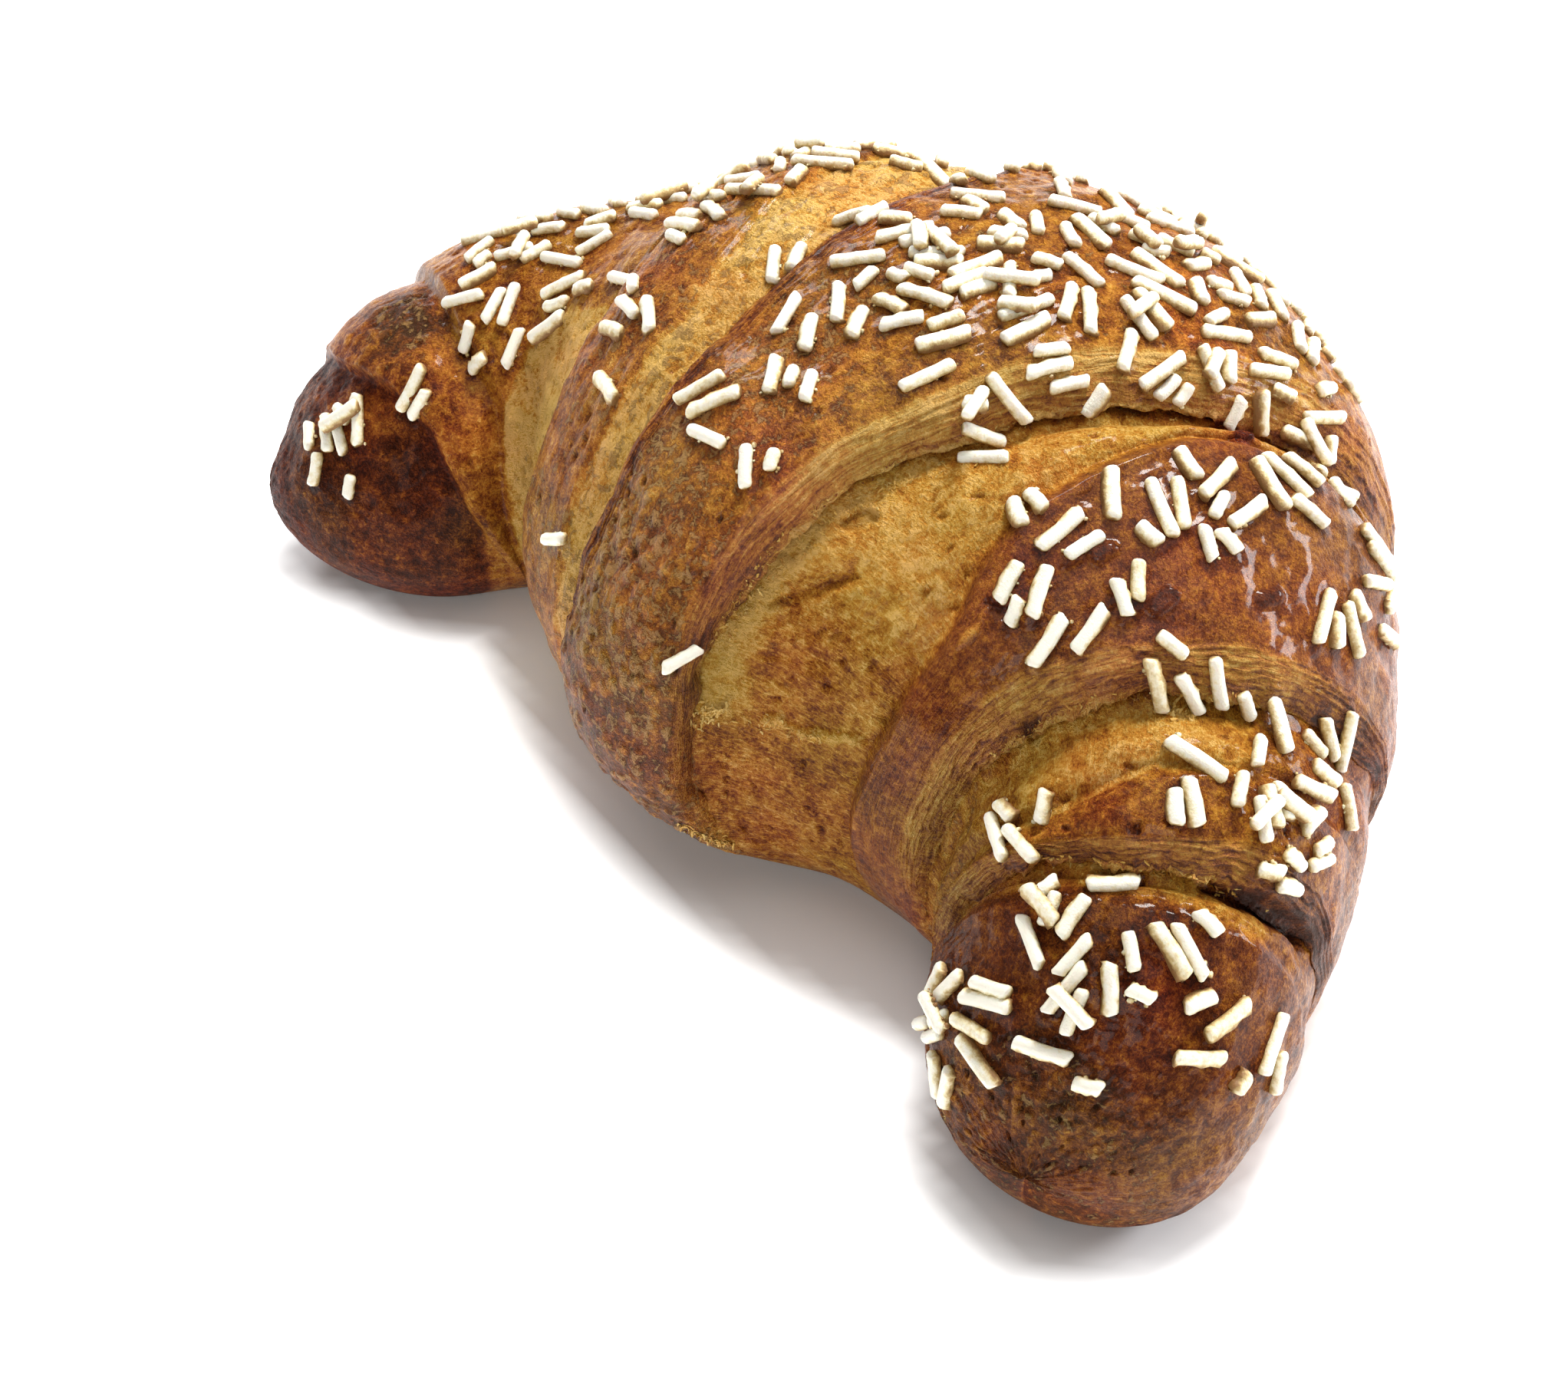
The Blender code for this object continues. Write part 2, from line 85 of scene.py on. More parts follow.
def stationCurve(values, at, slope=False):  # cubic through the stations, or its slope
    y = np.asarray(values, float)
    count = len(y)
    step = 2.0 / (count - 1)
    matrix = np.zeros((count, count))
    right = np.zeros(count)
    for i in range(1, count - 1):
        matrix[i, i - 1:i + 2] = 1.0, 4.0, 1.0
        right[i] = 6.0 * (y[i - 1] - 2.0 * y[i] + y[i + 1]) / step**2
    matrix[0, :3] = matrix[-1, -3:] = 1.0, -2.0, 1.0
    bend = np.linalg.solve(matrix, right)
    i = np.clip(((at + 1.0) / step).astype(int), 0, count - 2)
    b = (at + 1.0) / step - i
    a = 1.0 - b
    if slope:
        turn = (1.0 - 3.0 * a**2) * bend[i] + (3.0 * b**2 - 1.0) * bend[i + 1]
        return (y[i + 1] - y[i]) / step + step / 6.0 * turn
    return a * y[i] + b * y[i + 1] + step**2 / 6.0 * ((a**3 - a) * bend[i] + (b**3 - b) * bend[i + 1])


fineS = np.linspace(-1.0, 1.0, 4001)
fineRoll = {key: stationCurve(roll[key], fineS) for key in ("lineX", "lineY", "halfWidth", "topHeight")}
fineRoll["slopeX"] = stationCurve(roll["lineX"], fineS, True)
fineRoll["slopeY"] = stationCurve(roll["lineY"], fineS, True)


def along(key, s):
    return np.interp(s, fineS, fineRoll[key])


def endRounding(s):  # 1 along the roll, down to 0 at the horn tips
    share = np.where(s < 0, roll["roundedEnd"][0], roll["roundedEnd"][1])
    near = np.clip((np.abs(s) - (1.0 - share)) / share, 0.0, 1.0)
    return np.sqrt(np.clip(1.0 - near**roll["endPower"], 0.0, 1.0))


def rollPoint(s, angle):  # the plain roll, mm, with the angle in radians
    slopeX, slopeY = along("slopeX", s), along("slopeY", s)
    length = np.hypot(slopeX, slopeY)
    rounding = endRounding(s)
    out = along("halfWidth", s) * rounding * np.cos(angle)
    top = along("topHeight", s)
    widest = roll["widestAt"] * top
    sine = np.sin(angle)
    above = widest + (top - widest) * rounding * np.abs(sine)**roll["topPower"]
    below = widest + widest * roll["underside"] * rounding * sine
    x = along("lineX", s) - slopeY / length * out - roll["middle"][0]
    y = along("lineY", s) + slopeX / length * out - roll["middle"][1]
    return np.stack([x, y, np.where(sine > 0, above, below)], axis=-1)


def rollNormal(s, angle):
    ahead = rollPoint(np.clip(s + 0.002, -1, 1), angle) - rollPoint(np.clip(s - 0.002, -1, 1), angle)
    aside = rollPoint(s, angle + 0.01) - rollPoint(s, angle - 0.01)
    normal = np.cross(aside, ahead)
    return normal / np.maximum(np.linalg.norm(normal, axis=-1, keepdims=True), 1e-9)


topLine = rollPoint(fineS, np.full_like(fineS, math.radians(110)))
topLength = np.concatenate([[0.0], np.cumsum(np.linalg.norm(np.diff(topLine, axis=0), axis=1))])


def alongMM(s):  # length along the roll, mm
    return np.interp(s, fineS, topLength)


# seeded lattice noise, for shapes; the materials have their own
latticeValues = np.random.RandomState(7).rand(1 << 16)


def latticeAt(i, j, k, seed):
    spread = (i * 73856093) ^ (j * 19349663) ^ (k * 83492791) ^ (seed * 2654435761)
    return latticeValues[(spread ^ (spread >> 15)) & 0xFFFF]


def bumpy(x, y, z=0.0, seed=0):  # one octave, -1 to 1, features about one unit wide
    x, y, z = np.broadcast_arrays(x, y, z)
    i, j, k = (np.floor(v).astype(np.int64) for v in (x, y, z))
    fx, fy, fz = (v - w for v, w in ((x, i), (y, j), (z, k)))
    fx, fy, fz = (v * v * v * (v * (v * 6 - 15) + 10) for v in (fx, fy, fz))
    total = 0.0
    for a in (0, 1):
        for b in (0, 1):
            for c in (0, 1):
                weight = (fx if a else 1 - fx) * (fy if b else 1 - fy) * (fz if c else 1 - fz)
                total = total + weight * latticeAt(i + a, j + b, k + c, seed)
    return total * 2 - 1


def rough(x, y, z, seed):  # three octaves
    total, most = 0.0, 0.0
    for n, size in enumerate((1.0, 0.5, 0.25)):
        total = total + size * bumpy(x * 2**n + n * 17.3, y * 2**n + n * 5.9, z * 2**n, seed + n)
        most += size
    return total / most


def cells(x, y, seed, jitter=0.9):  # distance to the nearest scattered point and that point's own number
    i, j = np.floor(x).astype(np.int64), np.floor(y).astype(np.int64)
    nearest = np.full(np.shape(x), 9.0)
    own = np.zeros(np.shape(x))
    for a in (-1, 0, 1):
        for b in (-1, 0, 1):
            px = i + a + 0.5 + jitter * (latticeAt(i + a, j + b, 1, seed) - 0.5)
            py = j + b + 0.5 + jitter * (latticeAt(i + a, j + b, 2, seed) - 0.5)
            gap = np.hypot(x - px, y - py)
            closer = gap < nearest
            own = np.where(closer, latticeAt(i + a, j + b, 3, seed), own)
            nearest = np.where(closer, gap, nearest)
    return nearest, own


# the edges of the wraps: a curve round the roll as (degrees, s), crust heights before and after it in mm,
# and how wide the slope is. "lip" is how far the edge overhangs what lies under it, over these degrees,
# and the cut layers start at "faceFrom".
wrapEdges = {
    "leftCrease": {"heights": (-1.2, 0.9), "slope": 1.6, "at": (
        (30, -0.93), (75, -0.925), (90, -0.915), (105, -0.893), (120, -0.868), (135, -0.847),
        (150, -0.833), (165, -0.82), (180, -0.797), (195, -0.768), (210, -0.75))},
    "leftBulge": {"heights": (-0.5, 0.9), "slope": 1.6, "at": (
        (30, -0.80), (75, -0.79), (105, -0.78), (120, -0.765), (135, -0.742), (150, -0.754),
        (165, -0.762), (180, -0.755), (195, -0.735), (210, -0.72))},
    "leftWrap": {"heights": (-0.9, 1.0), "slope": 2.4, "at": (
        (30, -0.37), (60, -0.36), (90, -0.345), (120, -0.335), (150, -0.33), (165, -0.325),
        (180, -0.31), (210, -0.30))},
    "leftGlaze": {"heights": (0.4, -0.3), "slope": 1.6, "at": (
        (30, -0.25), (60, -0.24), (90, -0.233), (105, -0.216), (120, -0.20), (135, -0.195),
        (150, -0.198), (165, -0.18), (180, -0.17), (210, -0.17))},
    "middleLeft": {"heights": (-1.4, 1.1), "slope": 3.0, "at": (
        (30, -0.12), (60, -0.12), (90, -0.128), (120, -0.128), (150, -0.13), (170, -0.122), (210, -0.11))},
    "middleRight": {"heights": (2.2, -2.4), "slope": 2.6, "at": (
        (0, 0.31), (30, 0.288), (45, 0.276), (60, 0.253), (75, 0.241), (90, 0.217), (100, 0.197),
        (105, 0.187), (120, 0.146), (135, 0.126), (150, 0.130), (165, 0.155), (180, 0.172), (210, 0.17)),
        "faceFrom": ((30, 0.25), (60, 0.212), (75, 0.19), (90, 0.158), (105, 0.122), (120, 0.084),
                     (135, 0.066), (150, 0.074), (165, 0.11), (210, 0.14)),
        "lip": 1.0, "lipOver": (48, 66, 148, 172)},
    "secondGlaze": {"heights": (-0.8, 1.1), "slope": 2.2, "at": (
        (0, 0.36), (30, 0.328), (45, 0.315), (60, 0.29), (75, 0.28), (90, 0.294), (105, 0.312),
        (115, 0.34), (125, 0.385), (135, 0.41), (150, 0.426), (165, 0.425), (180, 0.415), (210, 0.41))},
    "secondEnd": {"heights": (1.3, -2.2), "slope": 3.2, "at": (
        (0, 0.46), (30, 0.495), (60, 0.51), (75, 0.518), (90, 0.523), (105, 0.527), (120, 0.538),
        (135, 0.548), (150, 0.553), (165, 0.56), (210, 0.56)),
        "faceFrom": ((30, 0.462), (60, 0.472), (90, 0.473), (105, 0.472), (120, 0.472), (135, 0.482),
                     (150, 0.50), (210, 0.52)),
        "lip": 0.8, "lipOver": (50, 72, 126, 150)},
    "thirdGlaze": {"heights": (-0.3, 0.6), "slope": 2.0, "at": (
        (0, 0.54), (30, 0.565), (60, 0.585), (75, 0.598), (90, 0.612), (105, 0.645), (120, 0.67),
        (135, 0.68), (165, 0.68), (210, 0.67))},
    "thirdEnd": {"heights": (1.0, -1.5), "slope": 2.6, "at": (
        (0, 0.645), (30, 0.663), (45, 0.678), (60, 0.69), (75, 0.706), (90, 0.721), (105, 0.726),
        (120, 0.724), (150, 0.73), (210, 0.73)),
        "faceFrom": ((30, 0.62), (60, 0.645), (75, 0.668), (90, 0.685), (105, 0.695), (120, 0.70),
                     (210, 0.705)),
        "lip": 1.0, "lipOver": (15, 30, 118, 140)},
    "hornGlaze": {"heights": (-0.6, 0.3), "slope": 2.0, "at": (
        (0, 0.69), (30, 0.705), (60, 0.73), (90, 0.757), (120, 0.765), (150, 0.77), (210, 0.77))},
}
edgeNames = list(wrapEdges)
bandBulge = (0.0, 0.3, 0.9, 0.2, 0.1, 0.7, 1.1, 0.5, 0.9, 0.3, 0.1, 0.0)  # mm between one edge and the next
wholeDegrees = np.arange(-110.0, 291.0)
crustPieces = {  # each wrap of dough: the edges it starts and ends at, mesh columns across each band, rows
    "crust_left_end": {"from": None, "to": "middleLeft", "bands": (74, 22, 96, 40, 34), "rows": 300},
    "crust_middle_wrap": {"from": "middleLeft", "to": "middleRight", "bands": (118,), "rows": 420},
    "crust_second_wrap": {"from": "middleRight", "to": "secondEnd", "bands": (84, 62), "rows": 405},
    "crust_third_wrap": {"from": "secondEnd", "to": "thirdEnd", "bands": (54, 26), "rows": 400},
    "crust_right_horn": {"from": "thirdEnd", "to": None, "bands": (20, 150), "rows": 400},
}
edgeColumns = {  # how the crust turns under at an edge: (mm from the edge, mm down)
    "underLip": ((-2.9, 1.7), (-2.3, 1.0), (-1.7, 0.5), (-1.1, 0.2), (-0.5, 0.06), (0.0, 0.0)),
    "fold": ((-0.7, 3.9), (-1.0, 3.1), (-1.2, 2.6), (-1.25, 2.1), (-1.05, 1.6), (-0.7, 1.1), (-0.25, 0.65),
             (0.3, 0.35), (0.9, 0.12)),
    "brim": ((0.10, 0.12), (0.16, 0.30), (0.10, 0.48), (-0.05, 0.64), (-0.35, 0.78), (-0.8, 0.9), (-1.3, 1.05)),
    "belowBrim": ((-1.8, 0.9), (-2.4, 2.2)),
    "tuck": ((-1.2, 0.03), (-0.8, 0.2), (-0.3, 0.5), (0.3, 1.1), (0.9, 1.9)),
}


def curveRound(pairs, degrees, reach=6):  # s at these degrees, with the bends rounded
    line = np.interp(wholeDegrees, *zip(*pairs))
    steps = np.arange(-reach, reach + 1)
    weights = np.cos(steps / (reach + 1) * math.pi / 2)**2
    line = np.convolve(np.pad(line, reach, mode="edge"), weights / weights.sum(), "valid")
    return np.interp(degrees, wholeDegrees, line)


def reliefShare(s, angle):  # how much relief shows: none on the base and the horn tips, less at the back
    base = smooth(-0.6, 0.1, np.sin(angle))
    degrees = np.degrees(angle)
    back = 0.35 + 0.65 * smooth(5.0, 65.0, degrees)
    front = 1 - 0.45 * smooth(150.0, 195.0, degrees)
    return base * back * front * smooth(0.0, 0.12, 1.0 - np.abs(s))


def rowAngles(count):  # rows round the roll: close together where it shows, far apart underneath
    fine = np.linspace(-90.0, 270.0, 3601)
    density = 0.16 + 0.84 * smooth(-28, 12, fine) * (1 - smooth(196, 226, fine))
    total = np.cumsum(density)
    total = (total - total[0]) / (total[-1] - total[0])
    return np.interp(np.arange(count) / count, total, fine)


def edgeRow(name, degrees):  # everything that the columns at one wrap edge need, for each row
    edge = wrapEdges[name]
    angle = np.radians(degrees)
    warp = smooth(-0.97, -0.45, np.sin(angle))

    def straightened(pairs):  # runs straight across underneath
        curve, straight = curveRound(pairs, degrees), curveRound(pairs, np.array([90.0]))[0]
        return straight + (curve - straight) * warp

    at = straightened(edge["at"])
    step = rollPoint(at + 0.003, angle) - rollPoint(at - 0.003, angle)
    perS = np.linalg.norm(step, axis=1) / 0.006
    seed = edgeNames.index(name) * 11
    wander = 0.5 * bumpy(degrees / 13, 7, seed, seed + 2) + 0.3 * bumpy(degrees / 5, 3, seed, seed + 1)
    half = edge["slope"] / 2 / perS
    row = {"at": at, "perS": perS, "warp": warp, "ragged": wander * warp * min(1.0, edge.get("lip", 0.3)),
           "share": reliefShare(at, angle), "seed": seed, "from": at - half, "to": at + half}
    if "faceFrom" in edge:
        start, full, fullEnd, end = edge["lipOver"]
        row["lip"] = smooth(start, full, degrees) * (1 - smooth(fullEnd, end, degrees))
        row["from"] = np.minimum(straightened(edge["faceFrom"]), at - half)
    return row


def bandLift(band, t):
    riseFrom = wrapEdges[edgeNames[band - 1]]["heights"][1] if band > 0 else 0.0
    riseTo = wrapEdges[edgeNames[band]]["heights"][0] if band < len(edgeNames) else 0.0
    return riseFrom + (riseTo - riseFrom) * smooth(0, 1, t) + bandBulge[band] * 4 * t * (1 - t)


def crustColumns(spec, degrees):
    # every column of one wrap: s, lift in mm, how far it is cut layers, how far it is tucked out of sight,
    # and how near the brim of the cut layers
    first = edgeNames.index(spec["from"]) if spec["from"] else -1
    last = edgeNames.index(spec["to"]) if spec["to"] else len(edgeNames)
    rows = {i: edgeRow(edgeNames[i], degrees) for i in range(max(first, 0), min(last, len(edgeNames) - 1) + 1)}
    columns = []

    def beside(i, x, lift, hidden=0.0):  # a column x mm from an edge
        row = rows[i]
        shift = (x * np.maximum(row["share"], 0.03) + row["ragged"] * (hidden > 0)) / row["perS"]
        columns.append((row["at"] + shift, lift, 0.0, hidden, 0.0))

    if first >= 0:
        edge = wrapEdges[edgeNames[first]]
        after = edge["heights"][1]
        if "lip" in edge:
            for x, down in (*edgeColumns["underLip"], (edge["slope"] / 4, 0.0)):
                beside(first, x, after - down, smooth(0.0, -1.6, x) if x < 0 else 0.0)
        else:
            for x, down in edgeColumns["fold"]:
                beside(first, x, after - down, 1.0 if down > 2.3 else 0.0)
    for number, count in enumerate(spec["bands"]):
        band = first + 1 + number
        count = max(8, int(count * detail))
        start = rows[band - 1]["to"] if band > 0 else np.full_like(degrees, -1.0)
        end = rows[band]["from"] if band < len(edgeNames) else np.full_like(degrees, 1.0)
        for k in range(count):
            t = k / (count - 1)
            if band == 0:
                t = ((k + 1) / count)**2
            if band == len(edgeNames):
                t = 1.0 - (1.0 - k / count)**2
            columns.append((start + (end - start) * t, bandLift(band, t), 0.0, 0.0, 0.0))
        if band < last:
            before, after = wrapEdges[edgeNames[band]]["heights"]
            for t in np.linspace(0, 1, int(14 * detail) + 3)[1:-1]:
                half = wrapEdges[edgeNames[band]]["slope"] / 2
                beside(band, (t * 2 - 1) * half, mixed(before, after, smooth(0, 1, t)))
    if last == len(edgeNames):
        return columns
    row = rows[last]
    before, after = wrapEdges[edgeNames[last]]["heights"]
    if "lip" not in row:
        for x, down in edgeColumns["tuck"]:
            beside(last, x, before - down, smooth(-0.9, 0.2, x))
        return columns
    lip = row["lip"]
    brim = after + 0.15 + 1.15 * lip
    wide = (row["at"] - row["from"]) * row["perS"]

    def teeth(layer):  # each layer of the cut is torn in its own way
        slow = bumpy(degrees / 2.8, layer * 0.45, row["seed"], row["seed"] + 5)
        quick = bumpy(degrees / 1.1, layer * 0.8, row["seed"], row["seed"] + 6)
        return (0.34 * slow + 0.26 * quick) * row["warp"] * (0.25 + 0.75 * lip)

    count = int(56 * detail)
    for k in range(1, count + 1):
        t = k / count
        shift = (-wide * (1 - t) + row["ragged"] * t**2 + teeth(0) * smooth(0.72, 1.0, t)) / row["perS"]
        lift = mixed(before, brim, 0.35 * t + 0.65 * t**2)
        columns.append((row["at"] + shift, lift, min(1.0, 5 * t), 0.0, t))
    for n, (x, down) in enumerate(edgeColumns["brim"]):
        shift = (x * (0.3 + 0.7 * lip) + row["ragged"] + teeth(1 + n * 1.3)) / row["perS"]
        columns.append((row["at"] + shift, brim - down * (0.2 + 0.8 * lip), 0.9, 0.1 + 0.1 * n, 1.0))
    for x, down in edgeColumns["belowBrim"]:
        beside(last, x, after - down, 1.0)
    return columns


# how each part of the crust is baked, laid over one another in this order. bake: 0 pale crumb to 1 darkest, and
# painted shade where sunken parts darken.
# mottle, streak, layers: how strong blotches, fibres along the roll and cut layers are. gloss: egg glaze.
plainLook = {"bakeAndShade": 0.60, "mottle": 0.45, "streak": 0.10, "layers": 0.0, "gloss": 0.6, "olive": 0.0,
             "grey": 0.0, "dry": 0.0}
allRound = (-90, -60, 250, 270)
below = (-120, -110, -24, -8)
bakedPatches = {  # edges on the left and the right, degrees where it fades in and out, softness in mm, look
    "left horn": (-2, "leftCrease", allRound, 0.4, {"bakeAndShade": 0.86, "mottle": 0.45, "gloss": 0.25}),
    "left horn top": (-0.955, ((90, -0.92), (130, -0.87)), (92, 102, 124, 134), 2.0,
        {"bakeAndShade": 0.60, "dry": 0.15, "gloss": 0.6}),
    "left crease strip": ("leftCrease", ((75, -0.88), (105, -0.865), (135, -0.80), (180, -0.765), (210, -0.73)),
        (60, 80, 250, 270), 0.4, {"bakeAndShade": 0.59, "mottle": 0.85, "gloss": 0.15, "streak": 0.3}),
    "left knot": (-0.885, -0.80, (58, 80, 98, 118), 3.0,
        {"bakeAndShade": 0.94, "mottle": 1.0, "gloss": 0.4, "dry": 0.35}),
    "left hollow": (((105, -0.86), (135, -0.80), (180, -0.765)), "leftBulge", (95, 110, 230, 260), 0.5,
        {"bakeAndShade": 0.58, "mottle": 0.6, "gloss": 0.3}),
    "left top glaze": (-0.80, "leftWrap", (-90, -40, 240, 260), 0.6,
        {"bakeAndShade": 0.53, "mottle": 0.6, "streak": 0.45, "gloss": 0.7}),
    "left bulge": ("leftBulge", "leftWrap", (0, 1, 240, 260), 0.5,
        {"bakeAndShade": 0.10, "mottle": 1.0, "streak": 1.0, "gloss": 0.25, "below": (
        (-0.80, 160), (-0.75, 142), (-0.74, 135), (-0.72, 130), (-0.70, 126), (-0.65, 120),
        (-0.6, 117), (-0.33, 117))}),  # only at the front of this line of (s, degrees)
    "left band": ("leftWrap", "middleLeft", allRound, 0.5,
        {"bakeAndShade": 0.56, "mottle": 0.8, "streak": 0.3, "layers": 0.25, "gloss": 0.45, "dry": 0.3}),
    "left pale strip": ("leftGlaze", -0.142, (-10, 20, 178, 192), 0.6,
        {"bakeAndShade": 0.14, "mottle": 0.9, "streak": 0.5, "gloss": 0.3}),
    "left groove strip": (((60, -0.14), (100, -0.146), (150, -0.15), (210, -0.14)), -0.098, allRound, 0.5,
        {"bakeAndShade": 0.60, "mottle": 0.5, "layers": 0.8, "gloss": 0.4}),
    "middle": (-0.10, "middleRight", allRound, 0.6,
        {"bakeAndShade": 0.56, "mottle": 0.7, "streak": 0.1, "gloss": 0.65, "dry": 0.2}),
    "middle upper left": (-0.10, 0.02, (92, 104, 250, 270), 2.5, {"bakeAndShade": 0.60, "dry": 0.5, "gloss": 0.5}),
    "middle front": (-0.10, "middleRight", (132, 150, 250, 270), 1.5,
        {"bakeAndShade": 0.66, "mottle": 1.0, "streak": 0.2, "gloss": 0.5, "dry": 0.55}),
    "middle low front": (-0.10, 0.12, (162, 175, 215, 230), 2.0, {"bakeAndShade": 0.82, "grey": 0.2, "dry": 0.35}),
    "first long pale face": ("middleRight", "secondGlaze", (30, 60, 250, 270), 0.5,
        {"bakeAndShade": 0.26, "mottle": 0.65, "streak": 0.62, "gloss": 0.35}),
    "its lower part": ("middleRight", "secondGlaze", (128, 152, 250, 270), 1.0,
        {"bakeAndShade": 0.48, "streak": 0.9, "mottle": 0.75}),
    "torn foot": ("middleRight", ((105, 0.20), (120, 0.19), (135, 0.20), (150, 0.21), (165, 0.24)),
        (108, 124, 166, 178), 2.2, {"bakeAndShade": 0.11, "olive": 0.3, "streak": 0.9, "gloss": 0.1}),
    "lower front": (0.13, 0.48, (162, 176, 240, 262), 2.0,
        {"bakeAndShade": 0.52, "mottle": 0.7, "streak": 1.0, "gloss": 0.35}),
    "second wrap": ("secondGlaze", "secondEnd", (-90, -40, 250, 270), 0.4,
        {"bakeAndShade": 0.66, "mottle": 0.34, "streak": 0.15, "gloss": 0.95, "grey": 0.12}),
    "second wrap, smooth glaze": ("secondGlaze", 0.53, (122, 136, 176, 190), 1.6,
        {"bakeAndShade": 0.58, "mottle": 0.4, "gloss": 0.6, "layers": 0.45}),
    "second pale face": ("secondEnd", "thirdGlaze", (52, 74, 250, 270), 0.5,
        {"bakeAndShade": 0.30, "mottle": 0.75, "streak": 0.6, "gloss": 0.3}),
    "its low part": ("secondEnd", "thirdGlaze", (118, 136, 250, 270), 1.0,
        {"bakeAndShade": 0.40, "olive": 0.0, "streak": 1.0}),
    "right low streaks": (0.54, 0.76, (140, 152, 250, 270), 1.6,
        {"bakeAndShade": 0.52, "streak": 1.0, "mottle": 0.8, "gloss": 0.3, "dry": 0.25}),
    "third wrap": ("thirdGlaze", "thirdEnd", (-90, -40, 138, 150), 0.4,
        {"bakeAndShade": 0.60, "mottle": 0.7, "gloss": 0.8}),
    "strip under the third wrap": ("thirdEnd", "hornGlaze", (28, 50, 120, 140), 0.6,
        {"bakeAndShade": 0.37, "mottle": 0.7, "streak": 0.3, "gloss": 0.3}),
    "right horn": ("hornGlaze", 2, allRound, 0.8, {"bakeAndShade": 0.75, "mottle": 0.32, "gloss": 0.8, "streak": 0.35}),
    "right horn tip": (0.93, 2, allRound, 3.0,
        {"bakeAndShade": 0.84, "mottle": 0.9, "gloss": 0.4, "streak": 0.5, "dry": 0.25}),
    "back": (-2, 2, (-120, -110, 8, 40), 1.0, {"bakeAndShade": 0.68, "mottle": 0.5, "gloss": 0.7}),
    "underside": (-2, 2, (-120, -110, -30, -12), 1.0,
        {"bakeAndShade": 0.56, "mottle": 0.7, "gloss": 0.05, "streak": 0.0, "layers": 0.0}),
    "left horn's underside": (-2, -0.78, below, 1.0, {"bakeAndShade": 0.84}),
    "right horn's underside": (0.78, 2, below, 1.0, {"bakeAndShade": 0.84}),
}
# how raggedly the patches run out: slow and quick waves in mm, and how far they reach
bakeWander = {"mmPerS": 90.0, "alongRoll": (0.9, 0.5), "round": (2.2, 1.0), "slow": 5, "quick": 1.6}

# lines, folds, holes and blisters: path of (s, degrees), half width, softness and lift in mm, look. "blunt"
# ends are full width, and "wobble" is how ragged the sides are.
crustStrokes = {
    # painted shade: both grooves and the hole in them bake darker where they sink
    "first groove left of the middle": (
        ((-0.13, 62), (-0.134, 90), (-0.135, 120), (-0.134, 150), (-0.128, 172), (-0.118, 205)),
        0.45, 0.5, -0.6, {"bakeAndShade": 0.86, "blunt": True}),
    "second groove": (((-0.112, 70), (-0.116, 95), (-0.115, 130), (-0.116, 160), (-0.105, 190)),
        0.3, 0.5, -0.4, {"bakeAndShade": 0.82}),
    "hole in the groove": (((-0.124, 164), (-0.119, 171)), 0.8, 0.6, -1.6, {"bakeAndShade": 1.0}),
    "dark red lip": (
        ((0.285, 62), (0.284, 78), (0.30, 92), (0.318, 105), (0.35, 117), (0.40, 127), (0.418, 137),
        (0.425, 150), (0.42, 166)), 0.9, 1.4, 0.15, {"bakeAndShade": 0.63, "mottle": 0.2, "blunt": True}),
    # painted shade: the crease bakes darker where it sinks
    "crease after the middle wrap": (((0.258, 66), (0.264, 58), (0.28, 50), (0.30, 42), (0.33, 34)),
        0.7, 0.8, -1.0, {"bakeAndShade": 0.88, "blunt": True}),
    # painted shade: the gap bakes nearly black where it sinks
    "gap under the third wrap": (((0.655, 20), (0.665, 30), (0.677, 42), (0.688, 52), (0.698, 61), (0.706, 68)),
        0.8, 0.9, -1.9, {"bakeAndShade": 0.97}),
    "torn yellow line": (((0.27, 168), (0.29, 166), (0.33, 166), (0.37, 163), (0.405, 159)),
        0.35, 0.5, 0.5, {"bakeAndShade": 0.16, "gloss": 0.1, "wobble": 0.6}),
    "fold on the second wrap": (((0.416, 128), (0.41, 125), (0.404, 122)), 0.35, 0.6, 0.5, {"bakeAndShade": 0.40}),
    "torn patch": (((0.180, 170), (0.192, 167), (0.205, 168)), 1.2, 0.9, 0.6,
        {"bakeAndShade": 0.12, "gloss": 0.1, "streak": 1.0, "olive": 0.3}),
    "dent in the first pale face": (((0.194, 127), (0.200, 125)), 0.9, 0.8, -0.8,
        {"bakeAndShade": 0.30, "olive": 0.3, "blunt": True}),
    "crease above its foot": (((0.198, 145), (0.215, 143), (0.236, 140), (0.268, 134)), 0.6, 1.1, -0.6,
        {"bakeAndShade": 0.50}),
    # painted shade: this fold and the pits below bake darker where they sink
    "fold beside the red lip": (((0.385, 120), (0.405, 117), (0.43, 116)), 0.5, 0.7, -0.5, {"bakeAndShade": 0.85}),
    "pits beside the second wrap's cut end": (((0.525, 119), (0.535, 122), (0.545, 127)), 0.55, 0.6, -0.9,
        {"bakeAndShade": 0.85, "wobble": 0.7}),
    "second torn edge of the third wrap": (
        ((0.716, 80), (0.720, 88), (0.728, 105), (0.720, 120)), 0.4, 0.5, 0.5,
        {"bakeAndShade": 0.22, "wobble": 0.6, "gloss": 0.1}),
    # painted shade: this fold bakes darker where it sinks
    "fold at the foot of the right horn": (
        ((0.885, 172), (0.92, 182), (0.945, 195), (0.955, 210)), 0.7, 0.8, -1.1,
        {"bakeAndShade": 0.93, "blunt": True}),
}
